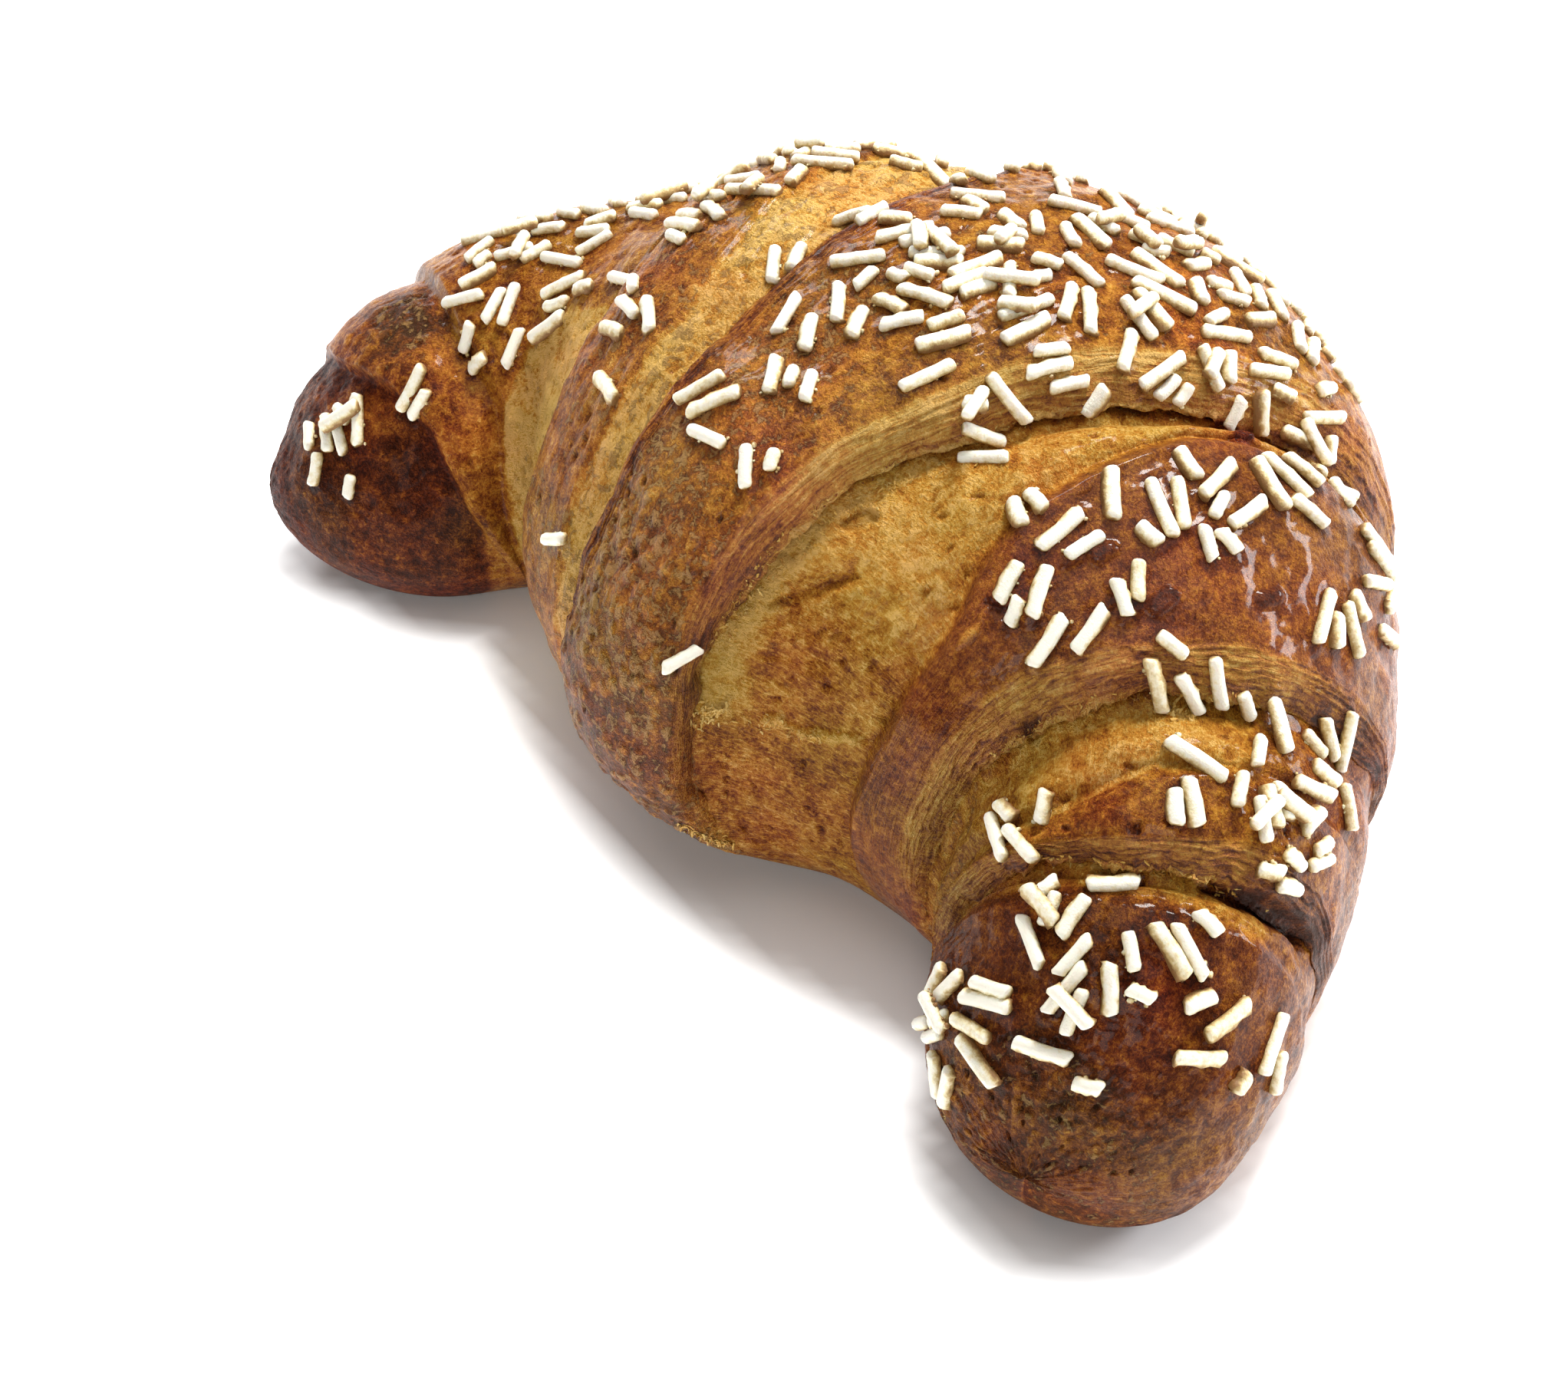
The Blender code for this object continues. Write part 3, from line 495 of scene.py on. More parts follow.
secondWrapBlisters = ((0.273, 63, 0.7, 0.5, 0.84), (0.383, 96, 0.7, 0.5, 0.86), (0.438, 87, 0.85, 0.6, 0.88),
        (0.428, 65, 0.8, 0.5, 0.86))  # s, degrees, half width, lift, bake
for number, (s, degree, wide, lift, bakeAndShade) in enumerate(secondWrapBlisters):
    crustStrokes[f"blister {number}"] = (((s, degree), (s + 0.004, degree + 2)), wide, 0.6, lift,
        {"bakeAndShade": bakeAndShade, "mottle": 0.2, "blunt": True})


def patchEdge(curve, degrees):  # s of a patch's side: a wrap edge by name, a line of (degrees, s), or one s
    if isinstance(curve, str):
        return curveRound(wrapEdges[curve]["at"], degrees)[:, None]
    if isinstance(curve, tuple):
        return np.interp(degrees, *zip(*curve))[:, None]
    return np.full((len(degrees), 1), float(curve))


def bakeCrust(sMap, degrees, place, cutFace, hidden, rim):
    look = {key: np.full(sMap.shape, value) for key, value in plainLook.items()}
    x, y, z = (place[..., i] for i in range(3))
    slow, quick = bakeWander["slow"], bakeWander["quick"]
    wander = rough(x / slow, y / slow, z / slow, 31)
    wobble = rough(x / quick, y / quick, z / quick, 35)
    (alongSlow, alongQuick), (roundSlow, roundQuick) = bakeWander["alongRoll"], bakeWander["round"]
    edgeS = sMap + (alongSlow * wander + alongQuick * wobble) / bakeWander["mmPerS"] * 0.6
    degreeMap = degrees[:, None] + (roundSlow * wander + roundQuick * wobble)
    for left, right, (low, full, fullEnd, high), softness, changes in bakedPatches.values():
        soft = softness / bakeWander["mmPerS"]
        mask = smooth(-soft, soft, edgeS - patchEdge(left, degrees))
        mask = mask * (1 - smooth(-soft, soft, edgeS - patchEdge(right, degrees)))
        mask = mask * smooth(low, full, degreeMap) * (1 - smooth(fullEnd, high, degreeMap))
        if "below" in changes:
            mask = mask * smooth(-1.5, 2.5, degreeMap - np.interp(sMap, *zip(*changes["below"])))
        for key in look:
            if key in changes:
                look[key] = mixed(look[key], changes[key], mask)
    # the cut layers of dough at the end of a wrap: pale at the brim, browner at the front and at the back
    look["layers"] = mixed(look["layers"], 1.0, cutFace)
    deep = 0.02 + 0.18 * smooth(0.35, 0.85, rim) - 0.20 * smooth(0.93, 1.0, rim)
    deep = deep + np.where(sMap < 0.35, 0.38 * smooth(122, 138, degreeMap), np.where(sMap < 0.6, 0.21, 0.30))
    deep = deep + 0.40 * (1 - smooth(32, 60, degreeMap))
    look["bakeAndShade"] = mixed(look["bakeAndShade"], deep + 0.10 * wander, cutFace * 0.9)
    for key, value in (("gloss", 0.35), ("mottle", 0.30), ("grey", 0.45), ("dry", 0.0)):
        look[key] = mixed(look[key], value, cutFace)
    # painted shade: what is tucked under a lip or a fold bakes darker
    look["bakeAndShade"] = look["bakeAndShade"] + 0.3 * smooth(0.55, 0.9, hidden)
    return look, wander, wobble


def rollScale(s, angle):  # mm on the plain roll for one unit of s, and for one radian round it
    here, way = np.array([s]), np.array([angle])
    ahead = rollPoint(here + 0.002, way) - rollPoint(here - 0.002, way)
    aside = rollPoint(here, way + 0.01) - rollPoint(here, way - 0.01)
    return np.linalg.norm(ahead) / 0.004, np.linalg.norm(aside) / 0.02


def strokeOn(path, sMap, degrees):  # how far each point is from a stroke's path, mm, and how far along it
    s0 = path[:, 0].mean()
    middle = np.radians(path[:, 1].mean())
    ahead = rollPoint(np.array([s0 - 0.01, s0 + 0.01]), np.array([middle, middle]))
    aside = rollPoint(np.array([s0, s0]), np.array([middle - 0.02, middle + 0.02]))
    perS = np.linalg.norm(ahead[1] - ahead[0]) / 0.02
    perDegree = np.linalg.norm(aside[1] - aside[0]) / math.degrees(0.04)
    x, y = sMap * perS, degrees[:, None] * perDegree + 0 * sMap
    line = path * (perS, perDegree)
    best = np.full(sMap.shape, 99.0)
    share = np.zeros(sMap.shape)
    lengths = np.hypot(*np.diff(line, axis=0).T)
    total = max(lengths.sum(), 1e-6)
    done = 0.0
    for (ax, ay), (bx, by), length in zip(line[:-1], line[1:], lengths):
        t = np.clip(((x - ax) * (bx - ax) + (y - ay) * (by - ay)) / max(length**2, 1e-9), 0, 1)
        gap = np.hypot(x - ax - t * (bx - ax), y - ay - t * (by - ay))
        closer = gap < best
        best = np.where(closer, gap, best)
        share = np.where(closer, (done + t * length) / total, share)
        done += length
    return best, share


def addStrokes(sMap, degrees, look, lift, wander, wobble):
    for path, wide, soft, rise, changes in crustStrokes.values():
        path = np.array(path, float)
        margin = wide + soft + 1
        near = (degrees > path[:, 1].min() - margin / 0.25) & (degrees < path[:, 1].max() + margin / 0.25)
        if not near.any():
            continue
        part = sMap[near]
        if part.max() < path[:, 0].min() - margin / 55 or part.min() > path[:, 0].max() + margin / 55:
            continue
        gap, share = strokeOn(path, part, degrees[near])
        gap = gap + changes.get("wobble", 0.35) * (wobble[near] + wander[near])
        reach = wide * (1.0 if changes.get("blunt") else np.sqrt(np.clip(4 * share * (1 - share), 0.02, 1)))
        mask = 1 - smooth(reach - soft / 2, reach + soft / 2, gap)
        lift[near] += rise * mask
        for key in look:
            if key in changes:
                look[key][near] = mixed(look[key][near], changes[key], mask)


# what the mesh carries for its material, four values to a colour
carried = {"tone": ("bakeAndShade", "mottle", "streak", "layers"), "skin": ("gloss", "olive", "grey", "dry")}
crustForm = {  # heights in mm, and how much paler (under 0) or darker each form bakes
    "swells": ((0.60, 13, 51), (0.34, 6, 52), (0.16, 2.9, 53)),  # height, width, seed
    "wrinkle": (0.16, -0.10),
    "blister": (0.24, -0.16),
    "fibre": (0.22, -0.12),
    "oliveFibre": 0.4,
    # pores sink and bake darker, as painted shade
    "pore": (-0.35, 0.22),
    "glazeRing": (0.12, 0.13),  # where glaze gathers beside a rod
    "layer": 0.28, "layerWide": 0.72, "layerBelow": 0.20, "layerBrim": -0.09,
}


def crustRelief(sMap, degrees, place, across, cutFace, hidden, look, wander, wobble):
    x, y, z = (place[..., i] for i in range(3))
    flatX = alongMM(sMap)
    perDegree = 0.0158 * along("halfWidth", float(np.median(sMap))) + 0.02  # mm round the roll
    flatY = degrees[:, None] * perDegree + 0 * sMap
    lift = sum(high * bumpy(x / wide, y / wide, z / wide, seed) for high, wide, seed in crustForm["swells"])

    def add(form, shape, share):  # adds one form's height and bake
        high, bakeAndShade = crustForm[form]
        look["bakeAndShade"] = look["bakeAndShade"] + bakeAndShade * shape * share
        return high * shape

    wrinkle = rough(flatX / 1.2 + 0.4 * wander, flatY / 2.6 + 0.4 * wobble, 0.0, 61)
    lift = lift + add("wrinkle", wrinkle, 1 - cutFace) * (1 - 0.6 * cutFace)
    near, own = cells(flatX / 1.7 + 0.4 * wobble, flatY / 2.1 + 0.4 * wander, 71)
    blister = (1 - smooth(0.25, 0.55, near)) * smooth(0.35, 0.6, own)
    where = smooth(0.6, 1.0, look["mottle"]) * (1 - cutFace)
    lift = lift + add("blister", blister, where) * where
    look["dry"] = look["dry"] + 0.35 * blister * where
    fibre = rough(flatX / 2.8 + 0.7 * wander, flatY / 1.0 + 0.9 * wobble, 0.0, 81)  # torn, along the roll
    lift = lift + (crustForm["fibre"][0] + crustForm["oliveFibre"] * look["olive"]) * fibre * look["streak"]
    add("fibre", fibre, look["streak"])
    # cut layers: ragged terraces that follow the edge, pale at the brim and dark in the step below
    around = degrees[:, None] + 0 * sMap
    stair = across / crustForm["layerWide"] + 0.95 * bumpy(across / 2.1, around / 26, 0.0, 90)
    stair = stair + 0.42 * bumpy(around / 7, across / 1.3, 0.0, 91)
    stair = stair + 0.16 * bumpy(around / 1.6, across / 0.8, 0.0, 92)
    shown = 0.35 + 0.65 * smooth(-0.35, 0.25, bumpy(around / 9, across / 0.9, 0.0, 93))  # layers come and go
    tread = stair - np.floor(stair)
    brim = smooth(0.50, 0.82, tread) * (1 - smooth(0.86, 0.93, tread))
    step = smooth(0.86, 0.93, tread) * (1 - 0.5 * smooth(0.97, 1.0, tread))
    step = step + 0.5 * (1 - smooth(0.0, 0.12, tread))
    lift = lift + crustForm["layer"] * (tread * (1 - smooth(0.88, 1.0, tread)) - 0.35) * shown * look["layers"]
    baked = crustForm["layerBelow"] * step + crustForm["layerBrim"] * brim
    look["bakeAndShade"] = look["bakeAndShade"] + baked * shown * look["layers"]
    near, own = cells(flatX / 2.2 + 0.4 * wobble, flatY / 3.0 + 0.4 * wander, 75)
    pore = (1 - smooth(0.06, 0.22, near)) * smooth(0.72, 0.8, own) * smooth(0.4, 0.7, look["mottle"])
    # painted shade: the pores bake darker
    lift = lift + add("pore", pore, 1.0)
    addStrokes(sMap, degrees, look, lift, wander, wobble)
    fades = smooth(-0.75, -0.2, np.sin(np.radians(degrees)))[:, None]
    return lift * fades * (1 - hidden)


def newPiece(name, data):  # a mesh, lamp or camera, put in the scene
    piece = bpy.data.objects.new(name, data)
    bpy.context.scene.collection.objects.link(piece)
    return piece


def closedSheet(name, place, ends):  # a skin of rows and columns in mm, closed to a point at both ends
    rows, cols = place.shape[:2]
    points = np.concatenate([place.transpose(1, 0, 2).reshape(-1, 3), ends])  # column after column
    at = np.arange(rows * cols).reshape(cols, rows)
    low, high = at[:-1], at[1:]
    quads = np.stack([low, np.roll(low, -1, axis=1), np.roll(high, -1, axis=1), high], axis=-1).reshape(-1, 4)
    startFan = np.stack([np.full(rows, rows * cols), np.roll(at[0], -1), at[0]], axis=1)
    endFan = np.stack([np.full(rows, rows * cols + 1), at[-1], np.roll(at[-1], -1)], axis=1)
    loops = np.concatenate([quads.ravel(), startFan.ravel(), endFan.ravel()])
    starts = np.concatenate([np.arange(len(quads)) * 4, len(quads) * 4 + np.arange(rows * 2) * 3])
    mesh = bpy.data.meshes.new(name)
    mesh.vertices.add(len(points))
    mesh.vertices.foreach_set("co", (points * mm).astype(np.float32).ravel())
    mesh.loops.add(len(loops))
    mesh.loops.foreach_set("vertex_index", loops.astype(np.int32))
    mesh.polygons.add(len(starts))
    mesh.polygons.foreach_set("loop_start", starts.astype(np.int32))
    mesh.update(calc_edges=True)
    mesh.validate()
    mesh.shade_smooth()
    print(name, rows, "rows", cols, "columns", len(quads) * 2, "triangles")
    faceOf = [np.repeat(np.arange(len(quads)), 4), len(quads) + np.repeat(np.arange(rows * 2), 3)]
    return mesh, loops, np.concatenate(faceOf)


def mapCrust(mesh, loops, faceOf, across, degrees):  # a flat map in centimetres, for the fibres and layers
    rows, cols = across.shape
    perDegree, farRound = 0.062, 12.0  # only the faces that close the ring reach so far
    uv = np.zeros((rows * cols + 2, 2), np.float32)
    uv[:-2, 0] = (across / 10).T.reshape(-1)
    uv[:-2, 1] = (degrees[:, None] * perDegree + 0 * across).T.reshape(-1)
    uv[-2], uv[-1] = uv[0], uv[-3]
    cornerUV = uv[loops]
    topV = np.zeros(faceOf.max() + 1)
    np.maximum.at(topV, faceOf, cornerUV[:, 1])
    firstRow = np.isin(loops, np.arange(cols) * rows)
    cornerUV[firstRow & (topV[faceOf] > farRound), 1] += 360 * perDegree  # the faces that close the ring
    mesh.uv_layers.new(name="crustMap").data.foreach_set("uv", cornerUV.astype(np.float32).ravel())


def buildCrust(name, spec, rodTouch):
    degrees = rowAngles(max(60, int(spec["rows"] * detail)))
    columns = crustColumns(spec, degrees)
    sMap, lift, cutFace, hidden, rim = (
        np.stack([np.broadcast_to(column[i], degrees.shape) for column in columns], axis=1) for i in range(5))
    sMap = np.clip(sMap, -1.0, 1.0)
    angle = np.radians(degrees)[:, None] + 0 * sMap
    plain = rollPoint(sMap, angle)
    cutFace = cutFace * smooth(-0.3, 0.3, np.sin(angle))
    look, wander, wobble = bakeCrust(sMap, degrees, plain, cutFace, hidden, rim)
    shown = (degrees > 25) & (degrees < 185)
    # steady in each column, so that the layers follow the edges
    across = np.mean(alongMM(sMap[shown]), axis=0)[None, :] + 0 * sMap
    fine = crustRelief(sMap, degrees, plain, across, cutFace, hidden, look, wander, wobble)
    gap = np.full(sMap.shape, 9.0)
    for i, j in zip(*np.nonzero((np.sin(angle) > 0.1) & (hidden < 0.5))):
        gap[i, j] = rodTouch.find(plain[i, j])[2]
    touch = 1 - smooth(0.5, 1.25, gap + 0.15 * wobble)
    fine = fine + crustForm["glazeRing"][0] * touch
    look["bakeAndShade"] = look["bakeAndShade"] + crustForm["glazeRing"][1] * touch
    look["gloss"] = mixed(look["gloss"], 0.85, 0.6 * touch)
    place = plain + rollNormal(sMap, angle) * (lift * reliefShare(sMap, angle) + fine)[..., None]
    place[..., 2] = np.maximum(place[..., 2], 0.0)
    ends = [rollPoint(np.array([side]), np.zeros(1))[0] if spec[key] is None else place[:, column].mean(0)
            for side, key, column in ((-1.0, "from", 0), (1.0, "to", -1))]
    mesh, loops, faceOf = closedSheet(name, place, ends)
    for title, keys in carried.items():
        values = [np.concatenate([look[key].T.ravel(), [look[key][:, 0].mean(), look[key][:, -1].mean()]])
                  for key in keys]
        layer = mesh.attributes.new(title, "FLOAT_COLOR", "POINT")
        layer.data.foreach_set("color", np.stack(values, axis=1).astype(np.float32).ravel())
    mapCrust(mesh, loops, faceOf, across, degrees)
    return newPiece(name, mesh)


# nodes, for the materials and for laying the rods
def feed(tree, value, socket):  # a link from another socket, or a plain value
    if isinstance(value, bpy.types.NodeSocket):
        tree.links.new(value, socket)
    else:
        socket.default_value = value


def fill(tree, node, **values):  # the node's settings by their own names, and its sockets by theirs
    for key, value in values.items():
        if hasattr(node, key):
            setattr(node, key, value)
        else:
            feed(tree, value, node.inputs[key.replace("_", " ")])
    return node


def put(tree, kind, label="", **values):
    node = tree.nodes.new(kind)
    node.label = label
    return fill(tree, node, **values)


def maths(tree, operation, *parts):
    node = put(tree, "ShaderNodeMath", operation=operation)
    for part, socket in zip(parts, node.inputs):
        feed(tree, part, socket)
    return node.outputs[0]


def times(tree, a, b):
    return maths(tree, "MULTIPLY", a, b)


def sumOf(tree, first, *others):
    for other in others:
        first = maths(tree, "ADD", first, other)
    return first


def centredNoise(tree, vector, label, scale, grain, roughness, twist=0.0):  # noise around 0
    node = put(tree, "ShaderNodeTexNoise", label, Vector=vector, Scale=scale, Detail=grain, Roughness=roughness,
               Distortion=twist)
    return maths(tree, "SUBTRACT", node.outputs["Fac"], 0.5)


def stepped(tree, value, low, high, label):  # 0 below low, 1 above high
    node = put(tree, "ShaderNodeMapRange", label, interpolation_type="SMOOTHSTEP", Value=value, From_Min=low,
               From_Max=high)
    return node.outputs["Result"]


def colourRamp(tree, value, stops):
    ramp = put(tree, "ShaderNodeValToRGB", Fac=value)
    while len(ramp.color_ramp.elements) < len(stops):
        ramp.color_ramp.elements.new(0.5)
    for element, (position, colour) in zip(ramp.color_ramp.elements, stops):
        element.position, element.color = position, (*colour, 1.0)
    return ramp.outputs["Color"]


def ownPlace(tree):
    return tree.nodes.new("ShaderNodeTexCoord").outputs["Object"]


def stored(tree, name):  # a value or a colour that the mesh carries
    return put(tree, "ShaderNodeAttribute", name, attribute_name=name)


def bumpFrom(tree, height, strength, distance):
    return put(tree, "ShaderNodeBump", "relief", Height=height, Strength=strength, Distance=distance).outputs[0]


def newMaterial(name):
    material = bpy.data.materials.new(name)
    material.use_nodes = True
    return material, material.node_tree, material.node_tree.nodes["Principled BSDF"]


bakedColours = {
    "stops": (  # how far along the bake, and the colour there
        (0.00, (0.79, 0.462, 0.128)), (0.14, (0.64, 0.345, 0.060)), (0.32, (0.53, 0.210, 0.023)),
        (0.48, (0.38, 0.132, 0.013)), (0.62, (0.240, 0.063, 0.0075)), (0.78, (0.112, 0.021, 0.0032)),
        (1.00, (0.028, 0.0048, 0.0012))),
    "olive": (0.42, 0.232, 0.06),
    "grey": (0.19, 0.12, 0.095),
    "dry": (0.42, 0.235, 0.078),
    "oliveShare": 0.6, "greyShare": 0.5, "dryEven": 0.22, "dryFlakes": 0.62,
    "roughness": (0.62, -0.26, 0.3),  # bare, less with full glaze, more with the grain
    "specular": 0.07, "coat": 0.26, "coatRoughness": 0.10, "coatIOR": 1.45, "relief": 0.0007,
}
crustGrain = {
    "noise": {  # on the croissant's own place: scale, detail, roughness, twist
        "broad": (230, 5, 0.6), "fine": (900, 4, 0.65), "grit": (3300, 2, 0.62, 0.4),
        "flecks": (1250, 4, 0.62, 0.9), "pools": (520, 4, 0.6, 0.5), "scurf": (900, 6, 0.7, 0.5),
        "warm": (95, 3, 0.5)},
    "flat": {  # on the crust's own map in centimetres: along and round the roll, detail, twist
        "fibres": (5.0, 23, 5, 1.1), "shreds": (17, 33, 3, 0.5), "ledges": (19, 1.7, 4, 0.3),
        "hairlines": (46, 2.6, 3, 0.25), "cuts": (12, 1.2, 2, 0.4)},
    "steps": {  # parted at a level: from which noise, low, high
        "specks": ("grit", 0.06, 0.12), "flecks": ("flecks", 0.03, 0.10), "pools": ("pools", 0.04, 0.16),
        "threads": ("fibres", 0.03, 0.12), "bits": ("shreds", 0.05, 0.11)},
    "pits": (0.07, 0.13), "cutSharpness": 16.0, "scurfAt": (0.13, 0.17), "moreScurf": 0.20,
}


def crustGrainGroup():
    group = bpy.data.node_groups.new("crustGrain", "ShaderNodeTree")
    for way, kind, titles in (
            ("INPUT", "NodeSocketColor", ("Tone",)), ("INPUT", "NodeSocketFloat", ("Layers", "Dry")),
            ("OUTPUT", "NodeSocketFloat", ("Bake", "Height", "Fine", "Warm", "Scurf"))):
        for title in titles:
            group.interface.new_socket(name=title, in_out=way, socket_type=kind)
    source = group.nodes.new("NodeGroupInput")
    layers, dry = source.outputs["Layers"], source.outputs["Dry"]
    bakeAndShade, mottle, streak = put(group, "ShaderNodeSeparateColor", Color=source.outputs["Tone"]).outputs
    place = ownPlace(group)
    flat = put(group, "ShaderNodeUVMap", uv_map="crustMap").outputs[0]
    parts = {name: centredNoise(group, place, name, *values) for name, values in crustGrain["noise"].items()}
    for name, (across, around, fineness, twist) in crustGrain["flat"].items():
        mapped = put(group, "ShaderNodeMapping", name, Vector=flat, Scale=(across, around, 1)).outputs[0]
        parts[name] = centredNoise(group, mapped, name, 1.0, fineness, 0.62, twist)
    parts["pits"] = stepped(group, times(group, parts["grit"], -1), *crustGrain["pits"], "pits")
    for name, (noise, low, high) in crustGrain["steps"].items():
        parts[name] = stepped(group, parts[noise], low, high, name)
    # lines between the cut layers, where the noise crosses 0
    line = maths(group, "ABSOLUTE", parts["cuts"])
    line = maths(group, "MAXIMUM", maths(group, "MULTIPLY_ADD", line, -crustGrain["cutSharpness"], 1.0), 0.0)
    parts["cuts"] = times(group, line, layers)
    # flakes of dry crust
    scurf = maths(group, "MULTIPLY_ADD", dry, crustGrain["moreScurf"], parts["scurf"])
    scurf = stepped(group, scurf, *crustGrain["scurfAt"], "scurf")
    parts["scurf"] = times(group, scurf, maths(group, "MINIMUM", times(group, dry, 4.0), 1.0))

    def weighed(**weights):
        return sumOf(group, *(times(group, parts[name], weight) for name, weight in weights.items()))

    parts["blotch"] = times(group, weighed(broad=0.85, fine=0.55, pools=0.13, flecks=-0.20), mottle)
    parts["fibre"] = times(group, weighed(fibres=0.60, threads=-0.12, shreds=1.5, bits=-0.20), streak)
    parts["ledge"] = times(group, weighed(ledges=0.55, hairlines=0.75), layers)
    total = sumOf(group, bakeAndShade, parts["blotch"], parts["fibre"], parts["ledge"], weighed(cuts=0.20),
                  weighed(fine=0.62, grit=1.7, specks=-0.22, pits=0.22))
    height = weighed(blotch=-0.55, fibre=-0.7, ledge=-0.6, cuts=-0.2, fine=-0.75, grit=-1.2, specks=0.09,
                     pits=-0.12, scurf=0.55)
    put(group, "NodeGroupOutput", Bake=total, Height=height, Fine=sumOf(group, parts["fine"], parts["grit"]),
        Warm=parts["warm"], Scurf=parts["scurf"])
    return group


def crustMaterial():
    material, tree, shader = newMaterial("bakedCrust")
    tone, skin = stored(tree, "tone").outputs, stored(tree, "skin").outputs
    gloss, olive, grey = put(tree, "ShaderNodeSeparateColor", Color=skin["Color"]).outputs
    grain = tree.nodes.new("ShaderNodeGroup")
    grain.node_tree = crustGrainGroup()
    fill(tree, grain, Tone=tone["Color"], Layers=tone["Alpha"], Dry=skin["Alpha"])
    grain = grain.outputs
    colour = colourRamp(tree, grain["Bake"], bakedColours["stops"])
    dried = sumOf(tree, times(tree, skin["Alpha"], bakedColours["dryEven"]),
                  times(tree, grain["Scurf"], bakedColours["dryFlakes"]))
    for title, share in (("olive", times(tree, olive, bakedColours["oliveShare"])),
                         ("grey", times(tree, grey, bakedColours["greyShare"])), ("dry", dried)):
        colour = put(tree, "ShaderNodeMix", title, data_type="RGBA", Factor=share, A=colour,
                     B=(*bakedColours[title], 1.0)).outputs["Result"]
    drift = put(tree, "ShaderNodeHueSaturation", "warmer and cooler patches", Color=colour,
                Hue=maths(tree, "MULTIPLY_ADD", grain["Warm"], 0.05, 0.5),
                Value=maths(tree, "MULTIPLY_ADD", grain["Warm"], -0.35, 1.0))
    bare, glazed, grainy = bakedColours["roughness"]
    dull = sumOf(tree, maths(tree, "MULTIPLY_ADD", gloss, glazed, bare), times(tree, grain["Fine"], grainy))
    fill(tree, shader, Base_Color=drift.outputs[0], Roughness=dull,
         Specular_IOR_Level=bakedColours["specular"], Coat_Weight=times(tree, gloss, bakedColours["coat"]),
         Coat_Roughness=bakedColours["coatRoughness"], Coat_IOR=bakedColours["coatIOR"],
         Normal=bumpFrom(tree, grain["Height"], 1.0, bakedColours["relief"]))
    return material


sugarColours = {
    "stops": ((0.0, (0.88, 0.85, 0.73)), (0.3, (0.78, 0.69, 0.45)), (0.6, (0.52, 0.375, 0.15)),
              (1.0, (0.24, 0.12, 0.035))),  # white to baked glaze
    "foot": (-0.6, 0.30),  # how the colour falls off up the rod, and where it starts: glaze stain at the foot, and painted shade that makes the sides yellower than the top
    "spots": 1.3, "wholeRod": 0.7, "roughness": 0.55, "glow": 0.12, "glowDeep": 0.001, "powder": 0.0002,
}


def sugarMaterial():
    material, tree, shader = newMaterial("pressedSugar")
    place = ownPlace(tree)
    fall, start = sugarColours["foot"]
    # real glaze stain at the rod's foot and painted shade: the top is painted whiter, the sides yellower
    stain = sumOf(tree, maths(tree, "MULTIPLY_ADD", stored(tree, "high").outputs["Fac"], fall, start),
                  times(tree, centredNoise(tree, place, "stain", 1400, 3, 0.6), sugarColours["spots"]),
                  times(tree, stored(tree, "tint").outputs["Fac"], sugarColours["wholeRod"]))
    powder = centredNoise(tree, place, "powder", 5200, 2, 0.6)
    fill(tree, shader, Base_Color=colourRamp(tree, stain, sugarColours["stops"]),
         Roughness=sugarColours["roughness"],
         Subsurface_Weight=sugarColours["glow"], Subsurface_Scale=sugarColours["glowDeep"],
         Normal=bumpFrom(tree, powder, 0.5, sugarColours["powder"]))
    return material


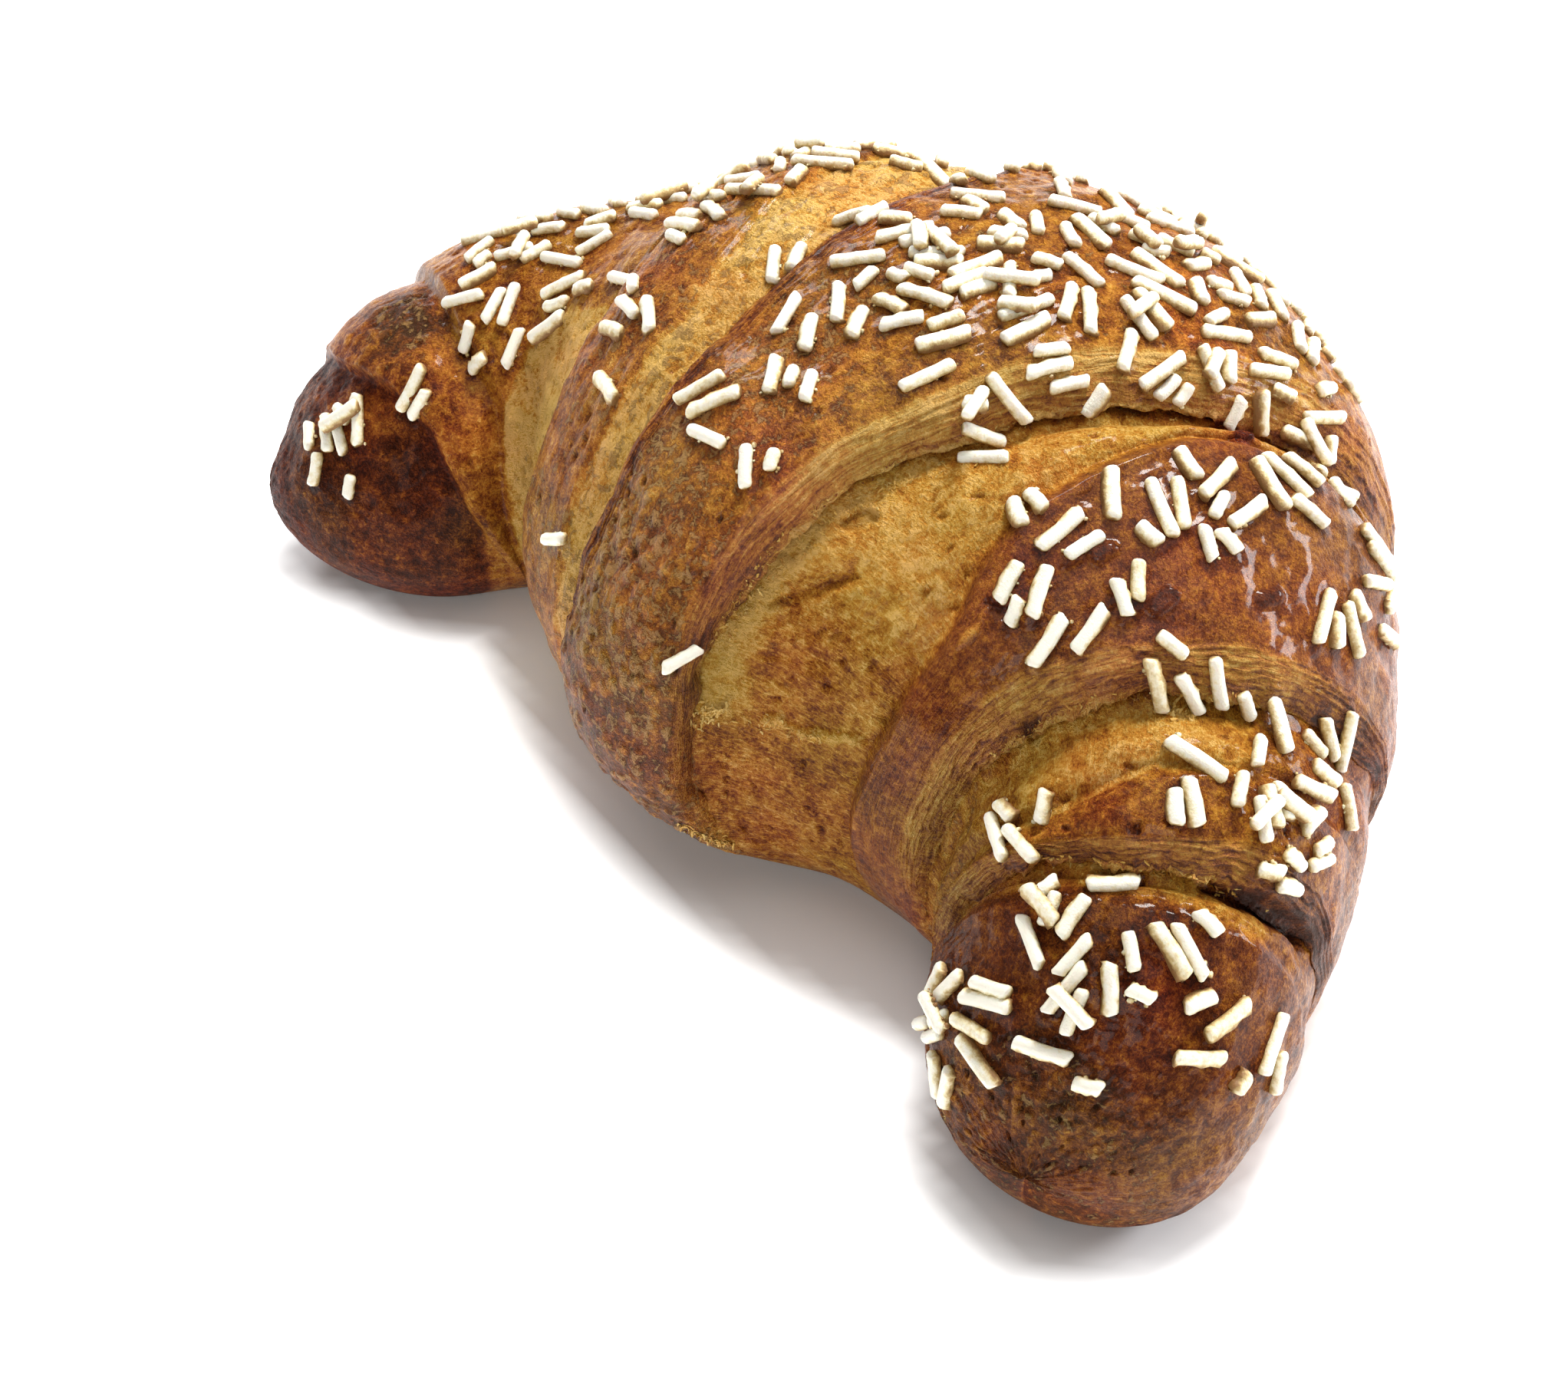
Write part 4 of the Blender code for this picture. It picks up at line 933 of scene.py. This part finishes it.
# sugar rods in groups: s, degrees, spread in s, spread in degrees, how many, how they lie (degrees from the
# way to the right horn towards the inner front) and the spread of that
rodGroups = (
    (-0.95, 128, 0.02, 22, 7, 80, 50), (-0.86, 122, 0.02, 9, 2, -10, 20), (-0.73, 110, 0.05, 14, 7, -15, 50),
    (-0.60, 108, 0.08, 12, 8, 10, 40), (-0.62, 78, 0.11, 13, 22, 30, 70), (-0.45, 76, 0.07, 12, 12, 20, 60),
    (-0.42, 106, 0.05, 7, 2, 10, 20), (-0.29, 80, 0.05, 14, 18, 20, 60), (-0.28, 101, 0.03, 6, 5, 25, 25),
    (-0.245, 123, 0.03, 4, 4, 10, 50), (-0.22, 133, 0.005, 1, 1, 20, 20), (-0.20, 160, 0.005, 1, 1, -25, 10),
    (-0.155, 101, 0.015, 3, 2, 50, 50), (-0.12, 88, 0.03, 4, 4, 0, 30), (-0.04, 127, 0.03, 2, 3, -40, 30),
    (0.05, 126, 0.01, 1, 2, 70, 20), (0.01, 116, 0.03, 1, 3, 65, 15), (-0.04, 107, 0.04, 3, 4, 20, 60),
    (0.10, 157, 0.005, 1, 1, -60, 10), (0.02, 97, 0.09, 9, 24, -45, 45), (0.15, 96, 0.06, 8, 16, -40, 40),
    (0.00, 82, 0.09, 8, 17, -10, 60), (0.14, 77, 0.08, 7, 13, 20, 60), (0.06, 60, 0.08, 11, 30, 30, 80),
    (0.19, 56, 0.06, 11, 30, 30, 80), (-0.06, 60, 0.06, 12, 8, 60, 50), (0.27, 44, 0.03, 6, 9, 30, 70),
    (0.10, 38, 0.12, 8, 20, 40, 70), (-0.36, 64, 0.14, 7, 9, 20, 70), (-0.16, 60, 0.04, 8, 4, 40, 60),
    (0.335, 106, 0.03, 5, 4, 30, 45), (0.42, 109, 0.04, 7, 6, 30, 40), (0.38, 93, 0.05, 6, 6, -10, 60),
    (0.36, 77, 0.05, 7, 12, 10, 50), (0.34, 59, 0.035, 6, 6, -60, 50), (0.42, 52, 0.02, 8, 4, -20, 60),
    (0.37, 33, 0.03, 6, 5, 60, 40), (0.50, 84, 0.03, 8, 4, -35, 25), (0.515, 62, 0.015, 6, 3, -30, 50),
    (0.52, 36, 0.02, 9, 5, -70, 30), (0.62, 76, 0.04, 9, 8, -20, 50), (0.59, 60, 0.04, 7, 6, 0, 60),
    (0.57, 44, 0.03, 8, 6, 60, 40), (0.64, 50, 0.02, 8, 4, 30, 60), (0.67, 128, 0.04, 8, 4, -20, 30),
    (0.75, 92, 0.01, 4, 1, 60, 20), (0.775, 70, 0.02, 6, 4, -30, 40), (0.81, 104, 0.04, 9, 7, -20, 50),
    (0.84, 84, 0.04, 9, 7, -40, 50), (0.90, 92, 0.035, 12, 5, 40, 60), (0.91, 128, 0.025, 16, 7, 60, 50),
    (0.93, 158, 0.02, 16, 7, 80, 40), (0.87, 160, 0.02, 14, 4, 80, 40), (0.83, 50, 0.025, 6, 3, 20, 30),
    (0.94, 74, 0.005, 2, 1, 60, 20), (0.80, 25, 0.10, 12, 3, 30, 60),
)
sugarRods = {
    "seed": 41, "tries": 30, "diameter": 1.38, "lengths": (2.0, 4.8, 7.0), "gap": 1.2,
    "sink": 0.28,  # share of the diameter that sits in the crust
    "together": 0.5, "beside": (1.25, 3.0), "fan": 85,  # how often, how near and how turned rods lie together
    "stray": (0.015, 3.0),  # how far one may lie outside its group
    # rods that lie on top of others
    "piled": {"seed": 23, "share": 0.26, "lift": 0.72, "lengths": (2.4, 4.2, 6.0), "crowd": 5.2, "many": 4},
    "stains": (9, 1.0, 3.2),  # seed, and how few are stained
    "shapes": 8,
}


def rodReach(s, angle, turn, length):  # half a rod's length as steps in s and angle
    perS, perAngle = rollScale(s, angle)
    return length / 2 * math.cos(turn) / perS, length / 2 * math.sin(turn) / perAngle


def rodLine(s, angle, turn, length, count=7):  # points along a rod, as it would lie on the plain roll
    ds, da = rodReach(s, angle, turn, length)
    low, high = rollPoint(np.array([s - ds, s + ds]), np.array([angle - da, angle + da]))
    return low + (high - low) * np.linspace(0, 1, count)[:, None]


def drawRod(rng, group, last):  # one rod: close beside the last one, or anywhere in its group
    s0, degrees0, spreadS, spreadDegrees, _, lie, spreadLie = group
    across, aroundIt, turned, beside = rng.uniform(-1, 1, 4)
    length = rng.triangular(*sugarRods["lengths"])
    if last is None or abs(beside) > sugarRods["together"]:
        angle = math.radians(degrees0 + spreadDegrees * aroundIt)
        return s0 + spreadS * across, angle, math.radians(lie + spreadLie * turned), length
    s, angle, turn = last
    perS, perAngle = rollScale(s, angle)
    near, far = sugarRods["beside"]
    reach = near + (far - near) * abs(aroundIt)
    s += reach * math.cos(math.pi * across) / perS
    angle += reach * math.sin(math.pi * across) / perAngle
    return s, angle, turn + math.radians(sugarRods["fan"]) * turned, length


def drawRods():
    rng = np.random.RandomState(sugarRods["seed"])
    strayS, strayDegrees = sugarRods["stray"]
    rods, taken = [], np.zeros((0, 3))
    for group in rodGroups:
        last = None
        for _ in range(group[4]):
            for _ in range(sugarRods["tries"]):
                s, angle, turn, length = drawRod(rng, group, last)
                line = rodLine(s, angle, turn, length)
                gaps = np.linalg.norm(taken[None] - line[:, None], axis=2)
                inside = (abs(s - group[0]) - group[2] < strayS
                          and abs(math.degrees(angle) - group[1]) - group[3] < strayDegrees)
                if inside and (gaps.size == 0 or gaps.min() > sugarRods["gap"]):
                    rods.append((s, angle, turn, length))
                    taken = np.concatenate([taken, line])
                    last = (s, angle, turn)
                    break
    return rods


def onCrust(trees, s, angle):  # the crust's own surface there, found by looking straight in, and the way out
    there, way = np.array([s]), np.array([angle])
    plain, out = rollPoint(there, way)[0], rollNormal(there, way)[0]
    start = Vector((plain + out * 6) * mm)
    hits = [tree.ray_cast(start, Vector(-out), 12 * mm) for tree in trees]
    hits = [hit for hit in hits if hit[0] is not None]
    return (np.array(min(hits, key=lambda hit: hit[3])[0]) / mm if hits else plain), out


def settleRods(rods, trees):  # where each rod lies on the crust, by its middle and its ends
    settled = []
    for s, angle, turn, length in rods:
        ds, da = rodReach(s, angle, turn, length)
        looked = [onCrust(trees, s + k * ds * 0.8, angle + k * da * 0.8) for k in (-1, 0, 1)]
        (low, _), (centre, out), (high, _) = looked
        axis = (high - low) / np.linalg.norm(high - low)
        middle = np.maximum(0, (centre - (low + high) / 2) @ out) * 0.7 * out + (low + high) / 2
        settled.append((middle + out * sugarRods["diameter"] * (0.5 - sugarRods["sink"]), axis, out, length))
    return settled


def pileRods(settled):  # rods that landed across others, in the crowded places
    piled = sugarRods["piled"]
    rng = np.random.RandomState(piled["seed"])
    middles = np.array([rod[0] for rod in settled])
    added = []
    for middle, axis, out, _ in settled:
        crowded = (np.linalg.norm(middles - middle, axis=1) < piled["crowd"]).sum() > piled["many"]
        turn = math.radians(rng.uniform(45, 135))
        aside = np.cross(out, axis)
        shift = axis * rng.uniform(-1.2, 1.2) + aside * rng.uniform(-0.8, 0.8)
        if crowded and rng.uniform() < piled["share"]:
            across = axis * math.cos(turn) + aside * math.sin(turn) - out * rng.uniform(0.05, 0.3)
            added.append((middle + shift + out * sugarRods["diameter"] * piled["lift"],
                          across / np.linalg.norm(across), out, rng.triangular(*piled["lengths"])))
    return settled + added


def closedRings(name, points, sides, ends, highs):  # a lathed, uneven shape from rings of points
    faces = []
    rings = len(points) // sides
    for i in range(rings - 1):
        for j in range(sides):
            k = (j + 1) % sides
            faces.append((i * sides + j, i * sides + k, (i + 1) * sides + k, (i + 1) * sides + j))
    faces.append(tuple(range(sides))[::-1])
    faces.append(tuple(range((rings - 1) * sides, rings * sides)))
    mesh = bpy.data.meshes.new(name)
    mesh.from_pydata(points, [], faces)
    mesh.update()
    mesh.shade_smooth()
    mesh.attributes.new("end", "FLOAT", "POINT").data.foreach_set("value", ends)
    mesh.attributes.new("high", "FLOAT", "POINT").data.foreach_set("value", highs)
    return bpy.data.objects.new(name, mesh)


rodProfile = (  # along the rod, radius, and how far this ring moves out as the rod grows
    (-0.5, 0.24, -1), (-0.46, 0.38, -1), (-0.33, 0.48, -1), (-0.1, 0.5, -1), (-0.05, 0.5, -0.5), (0, 0.5, 0),
    (0.05, 0.5, 0.5), (0.1, 0.5, 1), (0.33, 0.48, 1), (0.46, 0.38, 1), (0.5, 0.24, 1))
lumpProfile = ((-0.46, 0.16), (-0.3, 0.38), (0.0, 0.5), (0.28, 0.4), (0.46, 0.15))
flakeProfile = ((-0.5, 0.2, -1), (-0.25, 0.45, -0.5), (0.0, 0.5, 0), (0.25, 0.36, 0.5), (0.5, 0.1, 1))


def rodShape(name, seed, sides=10):  # one rod, one thick and one long, along Z, with its top towards X
    rng = np.random.RandomState(seed)
    slant = rng.uniform(-0.16, 0.16, 2)
    bend = rng.uniform(-0.06, 0.06, 2)
    side = rng.choice((-1, 0, 1))  # where sugar and glaze have baked on
    points, ends, highs = [], [], []
    for z, r, end in rodProfile:
        grow = rng.uniform(-0.035, 0.035)
        for j in range(sides):
            turn = 2 * math.pi * j / sides
            x, y = math.cos(turn), math.sin(turn)
            skirt = max(0.0, side * y - 0.55 * x - 0.25) * rng.uniform(0.0, 0.42)
            reach = r * (1 + grow + rng.uniform(-0.05, 0.05)) + skirt
            tilt = slant[int(end > 0)] * y * (abs(z) > 0.2)
            points.append((reach * x + bend[0] * (1 - end * end), reach * y + bend[1] * (1 - end * end),
                           z + tilt + rng.uniform(-0.02, 0.02)))
            ends.append(float(end))
            # high: towards the top, painted whiter by the sugar material, while the sides are painted yellower
            # as shade
            highs.append(x - 4.0 * skirt)
    return closedRings(name, points, sides, ends, highs)


def lumpShape(name, seed, sides=7):  # a crumb of sugar and baked glaze, one thick
    rng = np.random.RandomState(seed)
    points, highs = [], []
    for z, r in lumpProfile:
        for j in range(sides):
            turn = 2 * math.pi * j / sides
            reach = r * (1 + rng.uniform(-0.24, 0.24))
            points.append((reach * math.cos(turn), reach * math.sin(turn), z + rng.uniform(-0.07, 0.07)))
            # towards the top, painted whiter than the sides as painted light
            highs.append(math.cos(turn))
    return closedRings(name, points, sides, [0.0] * len(points), highs)


def flakeShape(name, seed, sides=6):  # a thin torn flake, one wide, along Z
    rng = np.random.RandomState(seed)
    curl = rng.uniform(0.3, 1.0)
    points, ends = [], []
    for z, r, end in flakeProfile:
        aside = rng.uniform(-0.18, 0.18)
        for j in range(sides):
            turn = 2 * math.pi * j / sides
            reach = r * (1 + rng.uniform(-0.25, 0.25))
            points.append((0.32 * reach * math.cos(turn) + curl * end * end, reach * math.sin(turn) + aside, z))
            ends.append(float(end))
    return closedRings(name, points, sides, ends, [0.5] * len(points))


def layTree(shapes, material):
    tree = bpy.data.node_groups.new("lay_" + shapes.name, "GeometryNodeTree")
    inputs = {}
    for title, way, kind in (
            ("Places", "INPUT", "Geometry"), ("Thickness", "INPUT", "Float"), ("Seed", "INPUT", "Int"),
            ("Pieces", "OUTPUT", "Geometry")):
        socket = tree.interface.new_socket(name=title, in_out=way, socket_type="NodeSocket" + kind)
        inputs[title] = socket.identifier

    def named(title, kind):
        node = put(tree, "GeometryNodeInputNamedAttribute", title, data_type=kind, Name=title)
        return node.outputs["Attribute"]

    source = tree.nodes.new("NodeGroupInput").outputs
    kinds = put(tree, "GeometryNodeCollectionInfo", Collection=shapes, Separate_Children=True,
                Reset_Children=True)
    pick = put(tree, "FunctionNodeRandomValue", "which shape", data_type="INT", Seed=source["Seed"])
    pick.inputs[4].default_value, pick.inputs[5].default_value = 0, len(shapes.objects) - 1
    aim = put(tree, "FunctionNodeAlignRotationToVector", "along its axis", axis="Z",
              Vector=named("axis", "FLOAT_VECTOR"))
    rise = put(tree, "FunctionNodeAlignRotationToVector", "top outwards", axis="X", pivot_axis="Z",
               Rotation=aim.outputs[0], Vector=named("out", "FLOAT_VECTOR"))
    size = times(tree, named("thick", "FLOAT"), source["Thickness"])
    scale = put(tree, "ShaderNodeCombineXYZ", X=size, Y=size, Z=size).outputs[0]
    lay = put(tree, "GeometryNodeInstanceOnPoints", Points=source["Places"], Instance=kinds.outputs[0],
              Pick_Instance=True, Instance_Index=pick.outputs[2], Rotation=rise.outputs[0], Scale=scale)
    real = put(tree, "GeometryNodeRealizeInstances", Geometry=lay.outputs[0])
    # each end moves out to the full length
    outward = times(tree, named("end", "FLOAT"), named("reach", "FLOAT"))
    offset = put(tree, "ShaderNodeVectorMath", operation="SCALE", Vector=named("axis", "FLOAT_VECTOR"),
                 Scale=outward)
    grow = put(tree, "GeometryNodeSetPosition", Geometry=real.outputs[0], Offset=offset.outputs[0])
    paint = put(tree, "GeometryNodeSetMaterial", Geometry=grow.outputs[0], Material=material)
    put(tree, "NodeGroupOutput", Pieces=paint.outputs[0])
    return tree, inputs


def layPieces(name, shapeObjects, spots, material):
    # spots: middle in mm, axis, outward direction, length, thickness and stain of each piece
    shapes = bpy.data.collections.new(name + "_shapes")
    for shape in shapeObjects:
        shapes.objects.link(shape)
    places = bpy.data.meshes.new(name + "_places")
    places.from_pydata([tuple(spot[0] * mm) for spot in spots], [], [])
    for title, index in (("axis", 1), ("out", 2)):
        layer = places.attributes.new(title, "FLOAT_VECTOR", "POINT")
        layer.data.foreach_set("vector", np.array([spot[index] for spot in spots], np.float32).ravel())
    for title, values in (("reach", [max(0.0, spot[3] - spot[4]) / 2 * mm for spot in spots]),
                          ("thick", [spot[4] * mm for spot in spots]), ("tint", [spot[5] for spot in spots])):
        places.attributes.new(title, "FLOAT", "POINT").data.foreach_set("value", values)
    holder = newPiece(name + "_places", places)
    tree, inputs = layTree(shapes, material)
    lay = holder.modifiers.new("lay", "NODES")
    lay.node_group = tree
    lay[inputs["Thickness"]] = 1.0
    lay[inputs["Seed"]] = sugarRods["seed"]
    graph = bpy.context.evaluated_depsgraph_get()
    mesh = bpy.data.meshes.new_from_object(holder.evaluated_get(graph), depsgraph=graph)
    mesh.name = name
    for used in (holder, *shapes.objects):
        bpy.data.objects.remove(used)
    print(name, len(spots), "triangles", sum(len(p.vertices) - 2 for p in mesh.polygons))
    return newPiece(name, mesh)


sugarGrit = {"seed": 5, "most": 6, "sizes": (0.2, 0.7), "bare": 0.5, "shapes": 5}  # bare: share of rods without


def gritSpots(rods):  # crumbs along the rods' sides
    rng = np.random.RandomState(sugarGrit["seed"])
    smallest, largest = sugarGrit["sizes"]
    foot = sugarRods["diameter"] * (0.5 - sugarRods["sink"])
    spots = []
    for middle, axis, out, length in rods:
        side = np.cross(out, axis)
        stained = rng.beta(0.8, 1.6)
        count = 0 if rng.uniform() < sugarGrit["bare"] else rng.randint(1, sugarGrit["most"] + 1)
        left = rng.choice((-1, 1))
        for _ in range(count):
            size = rng.triangular(smallest, smallest, largest)
            place = middle + axis * length * rng.uniform(-0.5, 0.5)
            place = place + side * left * (sugarRods["diameter"] / 2 + size * rng.uniform(-0.35, 0.3))
            place = place - out * (foot - size * rng.uniform(-0.05, 0.3))
            spots.append((place, rng.normal(size=3), out, 0.0, size, 0.75 + 0.6 * stained))
            if rng.uniform() < 0.25:
                left = -left
    return spots


# torn bits of crumb and crust: path of (s, degrees), half width in mm, how many, lengths and widths in mm,
# how far they stand up (0 flat, 1 upright) and how brown they are
tornBits = {
    "seed": 17,
    "shapes": 6,
    "stops": ((0.0, (0.62, 0.44, 0.15)), (0.4, (0.52, 0.30, 0.06)), (0.75, (0.36, 0.16, 0.025)),
              (1.0, (0.20, 0.06, 0.008))),
    "edges": (
        (((0.205, 108), (0.172, 120), (0.154, 133), (0.150, 146), (0.160, 158)),
         1.5, 150, (0.25, 0.9), (0.1, 0.3), 0.3, 0.45),
        (((0.178, 171), (0.190, 167), (0.206, 168)),
         1.3, 60, (0.5, 1.6), (0.15, 0.5), 0.35, 0.25),
        (((0.27, 169), (0.275, 167), (0.29, 166), (0.33, 167), (0.345, 164), (0.36, 164), (0.405, 159)),
         1.0, 45, (0.3, 1.0), (0.15, 0.4), 0.25, 0.5),
        (((0.253, 62), (0.241, 75), (0.217, 90), (0.187, 105), (0.146, 120), (0.126, 135), (0.128, 146)),
         0.3, 150, (0.2, 0.6), (0.12, 0.3), 0.4, 0.7),
        (((0.515, 70), (0.523, 90), (0.527, 105), (0.538, 120), (0.548, 135)),
         0.4, 90, (0.2, 0.8), (0.12, 0.35), 0.4, 0.75),
        (((0.535, 78), (0.54, 88)),
         1.0, 40, (0.3, 1.1), (0.2, 0.5), 0.4, 0.35),
        (((0.675, 42), (0.70, 65), (0.716, 84), (0.728, 105), (0.722, 120)),
         0.4, 55, (0.3, 1.2), (0.15, 0.45), 0.3, 0.65),
        (((0.11, 196), (0.14, 202), (0.17, 205)),
         1.2, 60, (0.4, 1.4), (0.2, 0.6), 0.4, 0.45),
        (((0.925, 186), (0.955, 196)),
         1.2, 14, (0.3, 0.7), (0.2, 0.4), 0.4, 0.1),
    ),
}


def flakeSpots(trees):
    rng = np.random.RandomState(tornBits["seed"])
    spots = []
    for path, wide, count, lengths, widths, rise, brown in tornBits["edges"]:
        path = np.array(path, float)
        for _ in range(count):
            at = rng.uniform(0, len(path) - 1)
            s, degrees = (np.interp(at, np.arange(len(path)), path[:, i]) for i in (0, 1))
            perS, perAngle = rollScale(s, math.radians(degrees))
            s += wide * rng.normal() * 0.5 / perS
            angle = math.radians(degrees) + wide * rng.normal() * 0.5 / perAngle
            place, out = onCrust(trees, s, angle)
            axis = rng.normal(size=3)
            axis = axis - out * (axis @ out)
            axis = axis / np.linalg.norm(axis) + out * rise * rng.uniform(0.1, 1.6)
            axis = axis / np.linalg.norm(axis)
            length, thick = (rng.triangular(low, low, high) for low, high in (lengths, widths))
            place = place + axis * 0.3 * length * rise + out * 0.03
            spots.append((place, axis, out, length, thick, brown * rng.uniform(0.3, 1.7)))
    return spots


def flakeMaterial():
    material, tree, shader = newMaterial("tornCrumb")
    noise = centredNoise(tree, ownPlace(tree), "browning", 2400, 3, 0.6)
    brown = sumOf(tree, stored(tree, "tint").outputs["Fac"], times(tree, noise, 0.8))
    fill(tree, shader, Base_Color=colourRamp(tree, brown, tornBits["stops"]), Roughness=0.55,
         Specular_IOR_Level=0.25)
    return material


# build it
rods = drawRods()
rodTouch = KDTree(len(rods) * 12)
for rod in rods:
    for point in rodLine(*rod, 12):
        rodTouch.insert(point, 0)
rodTouch.balance()
crust = [buildCrust(name, spec, rodTouch) for name, spec in crustPieces.items()]
bakedCrust = crustMaterial()
for piece in crust:
    piece.data.materials.append(bakedCrust)
print("crust ready")
trees = [BVHTree.FromPolygons([v.co[:] for v in piece.data.vertices],
                              [p.vertices[:] for p in piece.data.polygons]) for piece in crust]
settled = pileRods(settleRods(rods, trees))
seed, *spread = sugarRods["stains"]
stains = np.random.RandomState(seed).beta(*spread, len(settled))
rodSpots = [(*rod, sugarRods["diameter"] * (0.94 + 0.12 * stain), stain) for rod, stain in zip(settled, stains)]
pressedSugar = sugarMaterial()
rodShapes = [rodShape(f"rodShape{n}", 100 + n) for n in range(sugarRods["shapes"])]
lumpShapes = [lumpShape(f"lumpShape{n}", 200 + n) for n in range(sugarGrit["shapes"])]
flakeShapes = [flakeShape(f"flakeShape{n}", 300 + n) for n in range(tornBits["shapes"])]
sugar = [layPieces("sugar_rods", rodShapes, rodSpots, pressedSugar),
         layPieces("sugar_grit", lumpShapes, gritSpots(settled), pressedSugar)]
crust.append(layPieces("torn_bits", flakeShapes, flakeSpots(trees), flakeMaterial()))
for pieces, slot in ((crust, "crust"), (sugar, "sugar")):
    for piece in pieces:
        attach(piece, "root")
        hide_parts("croissant")
print("pieces ready")

# the studio: white floor, broad soft lights, and the camera where the photo was taken from
studio = {
    "floor": (0.93, 0.93, 0.93),
    "floorGlow": 1.1,  # how brightly the floor glows, as painted light, away from the croissant
    "glowFrom": (0.3, 6.5),  # mm from its foot
    "foot": 0.86,  # share of its width that rests
    "world": 0.09,
    "lights": (  # name, place, aim, size, watts, colour
        ("key", (-0.15, 0.33, 0.62), (0, 0, 0.02), (0.18, 0.18), 6.8, (1.0, 0.985, 0.96)),
        ("top", (0.05, 0.0, 0.80), (0, 0, 0.02), (0.8, 0.8), 2.8, (1.0, 0.985, 0.96)),
        ("backRight", (0.30, 0.62, 0.34), (0, 0, 0.03), (0.30, 0.16), 4.4, (0.96, 0.97, 1.0)),
        ("backLeft", (-0.60, 0.25, 0.40), (0, 0, 0.03), (0.25, 0.2), 2.6, (0.96, 0.97, 1.0)),
        ("front", (0.45, -0.60, 0.50), (0, 0, 0.02), (0.4, 0.4), 2.0, (1.0, 0.98, 0.96)),
    ),
    "camera": {"place": (0.17109, -0.14897, 0.23319), "down": 45.740, "round": 52.773, "lens": 67.96,
               "sensor": 36},
}
ticks = np.concatenate([[-3, -1, -0.5], np.linspace(-0.2, 0.2, 161), [0.5, 1, 3]])
across, back = np.meshgrid(ticks, ticks)
footS = np.linspace(-0.97, 0.97, 120)
footX, footY = along("lineX", footS) - roll["middle"][0], along("lineY", footS) - roll["middle"][1]
rests = studio["foot"] * along("halfWidth", footS) * endRounding(footS)
footReach = np.minimum(rests, 65 * (1 - np.abs(footS)))
away = np.hypot(across[..., None] / mm - footX, back[..., None] / mm - footY) - footReach
# painted light: the floor glows away from the croissant's foot, which leaves it painted darker close to the
# foot
paintedGlow = smooth(*studio["glowFrom"], away.min(-1))
spots = np.stack([across, back, np.full_like(across, -0.0002)], axis=-1).reshape(-1, 3)
row = np.arange(len(ticks) - 1)
corner = (row[:, None] * len(ticks) + row).ravel()
squares = np.stack([corner, corner + 1, corner + len(ticks) + 1, corner + len(ticks)], 1)
floorMesh = bpy.data.meshes.new("floor")
floorMesh.from_pydata(spots.tolist(), [], squares.tolist())
floorMesh.attributes.new("paintedGlow", "FLOAT", "POINT").data.foreach_set("value", paintedGlow.ravel())
# the floor's glow is painted light; it is no lamp
paleFloor, floorTree, floorShader = newMaterial("paleFloor")
fill(floorTree, floorShader, Base_Color=(*studio["floor"], 1), Roughness=0.9, Specular_IOR_Level=0.1,
     Emission_Color=(1, 1, 1, 1),
     Emission_Strength=times(floorTree, stored(floorTree, "paintedGlow").outputs["Fac"], studio["floorGlow"]))
floorMesh.materials.append(paleFloor)
floor = newPiece("floor", floorMesh)

world = bpy.data.worlds.new("studio")
world.use_nodes = True
fill(world.node_tree, world.node_tree.nodes["Background"], Color=(1, 1, 1, 1), Strength=studio["world"])
bpy.context.scene.world = world
for name, place, aim, size, watts, colour in studio["lights"]:
    lamp = bpy.data.lights.new(name, "AREA")
    lamp.shape, lamp.size, lamp.size_y = "RECTANGLE", size[0], size[1]
    lamp.energy, lamp.color = watts, colour
    holder = newPiece(name, lamp)
    holder.location = place
    holder.rotation_euler = (Vector(aim) - Vector(place)).to_track_quat("-Z", "Y").to_euler()

shot = studio["camera"]
lens = bpy.data.cameras.new("camera")
lens.lens, lens.sensor_width = shot["lens"], shot["sensor"]
lens.clip_start, lens.clip_end = 0.01, 20
camera = newPiece("camera", lens)
camera.location = shot["place"]
camera.rotation_euler = (math.radians(90 - shot["down"]), 0, math.radians(shot["round"]))
bpy.context.scene.camera = camera
bpy.context.scene.view_settings.view_transform = "Standard"
bpy.context.scene.view_settings.look = "None"
print("studio ready")
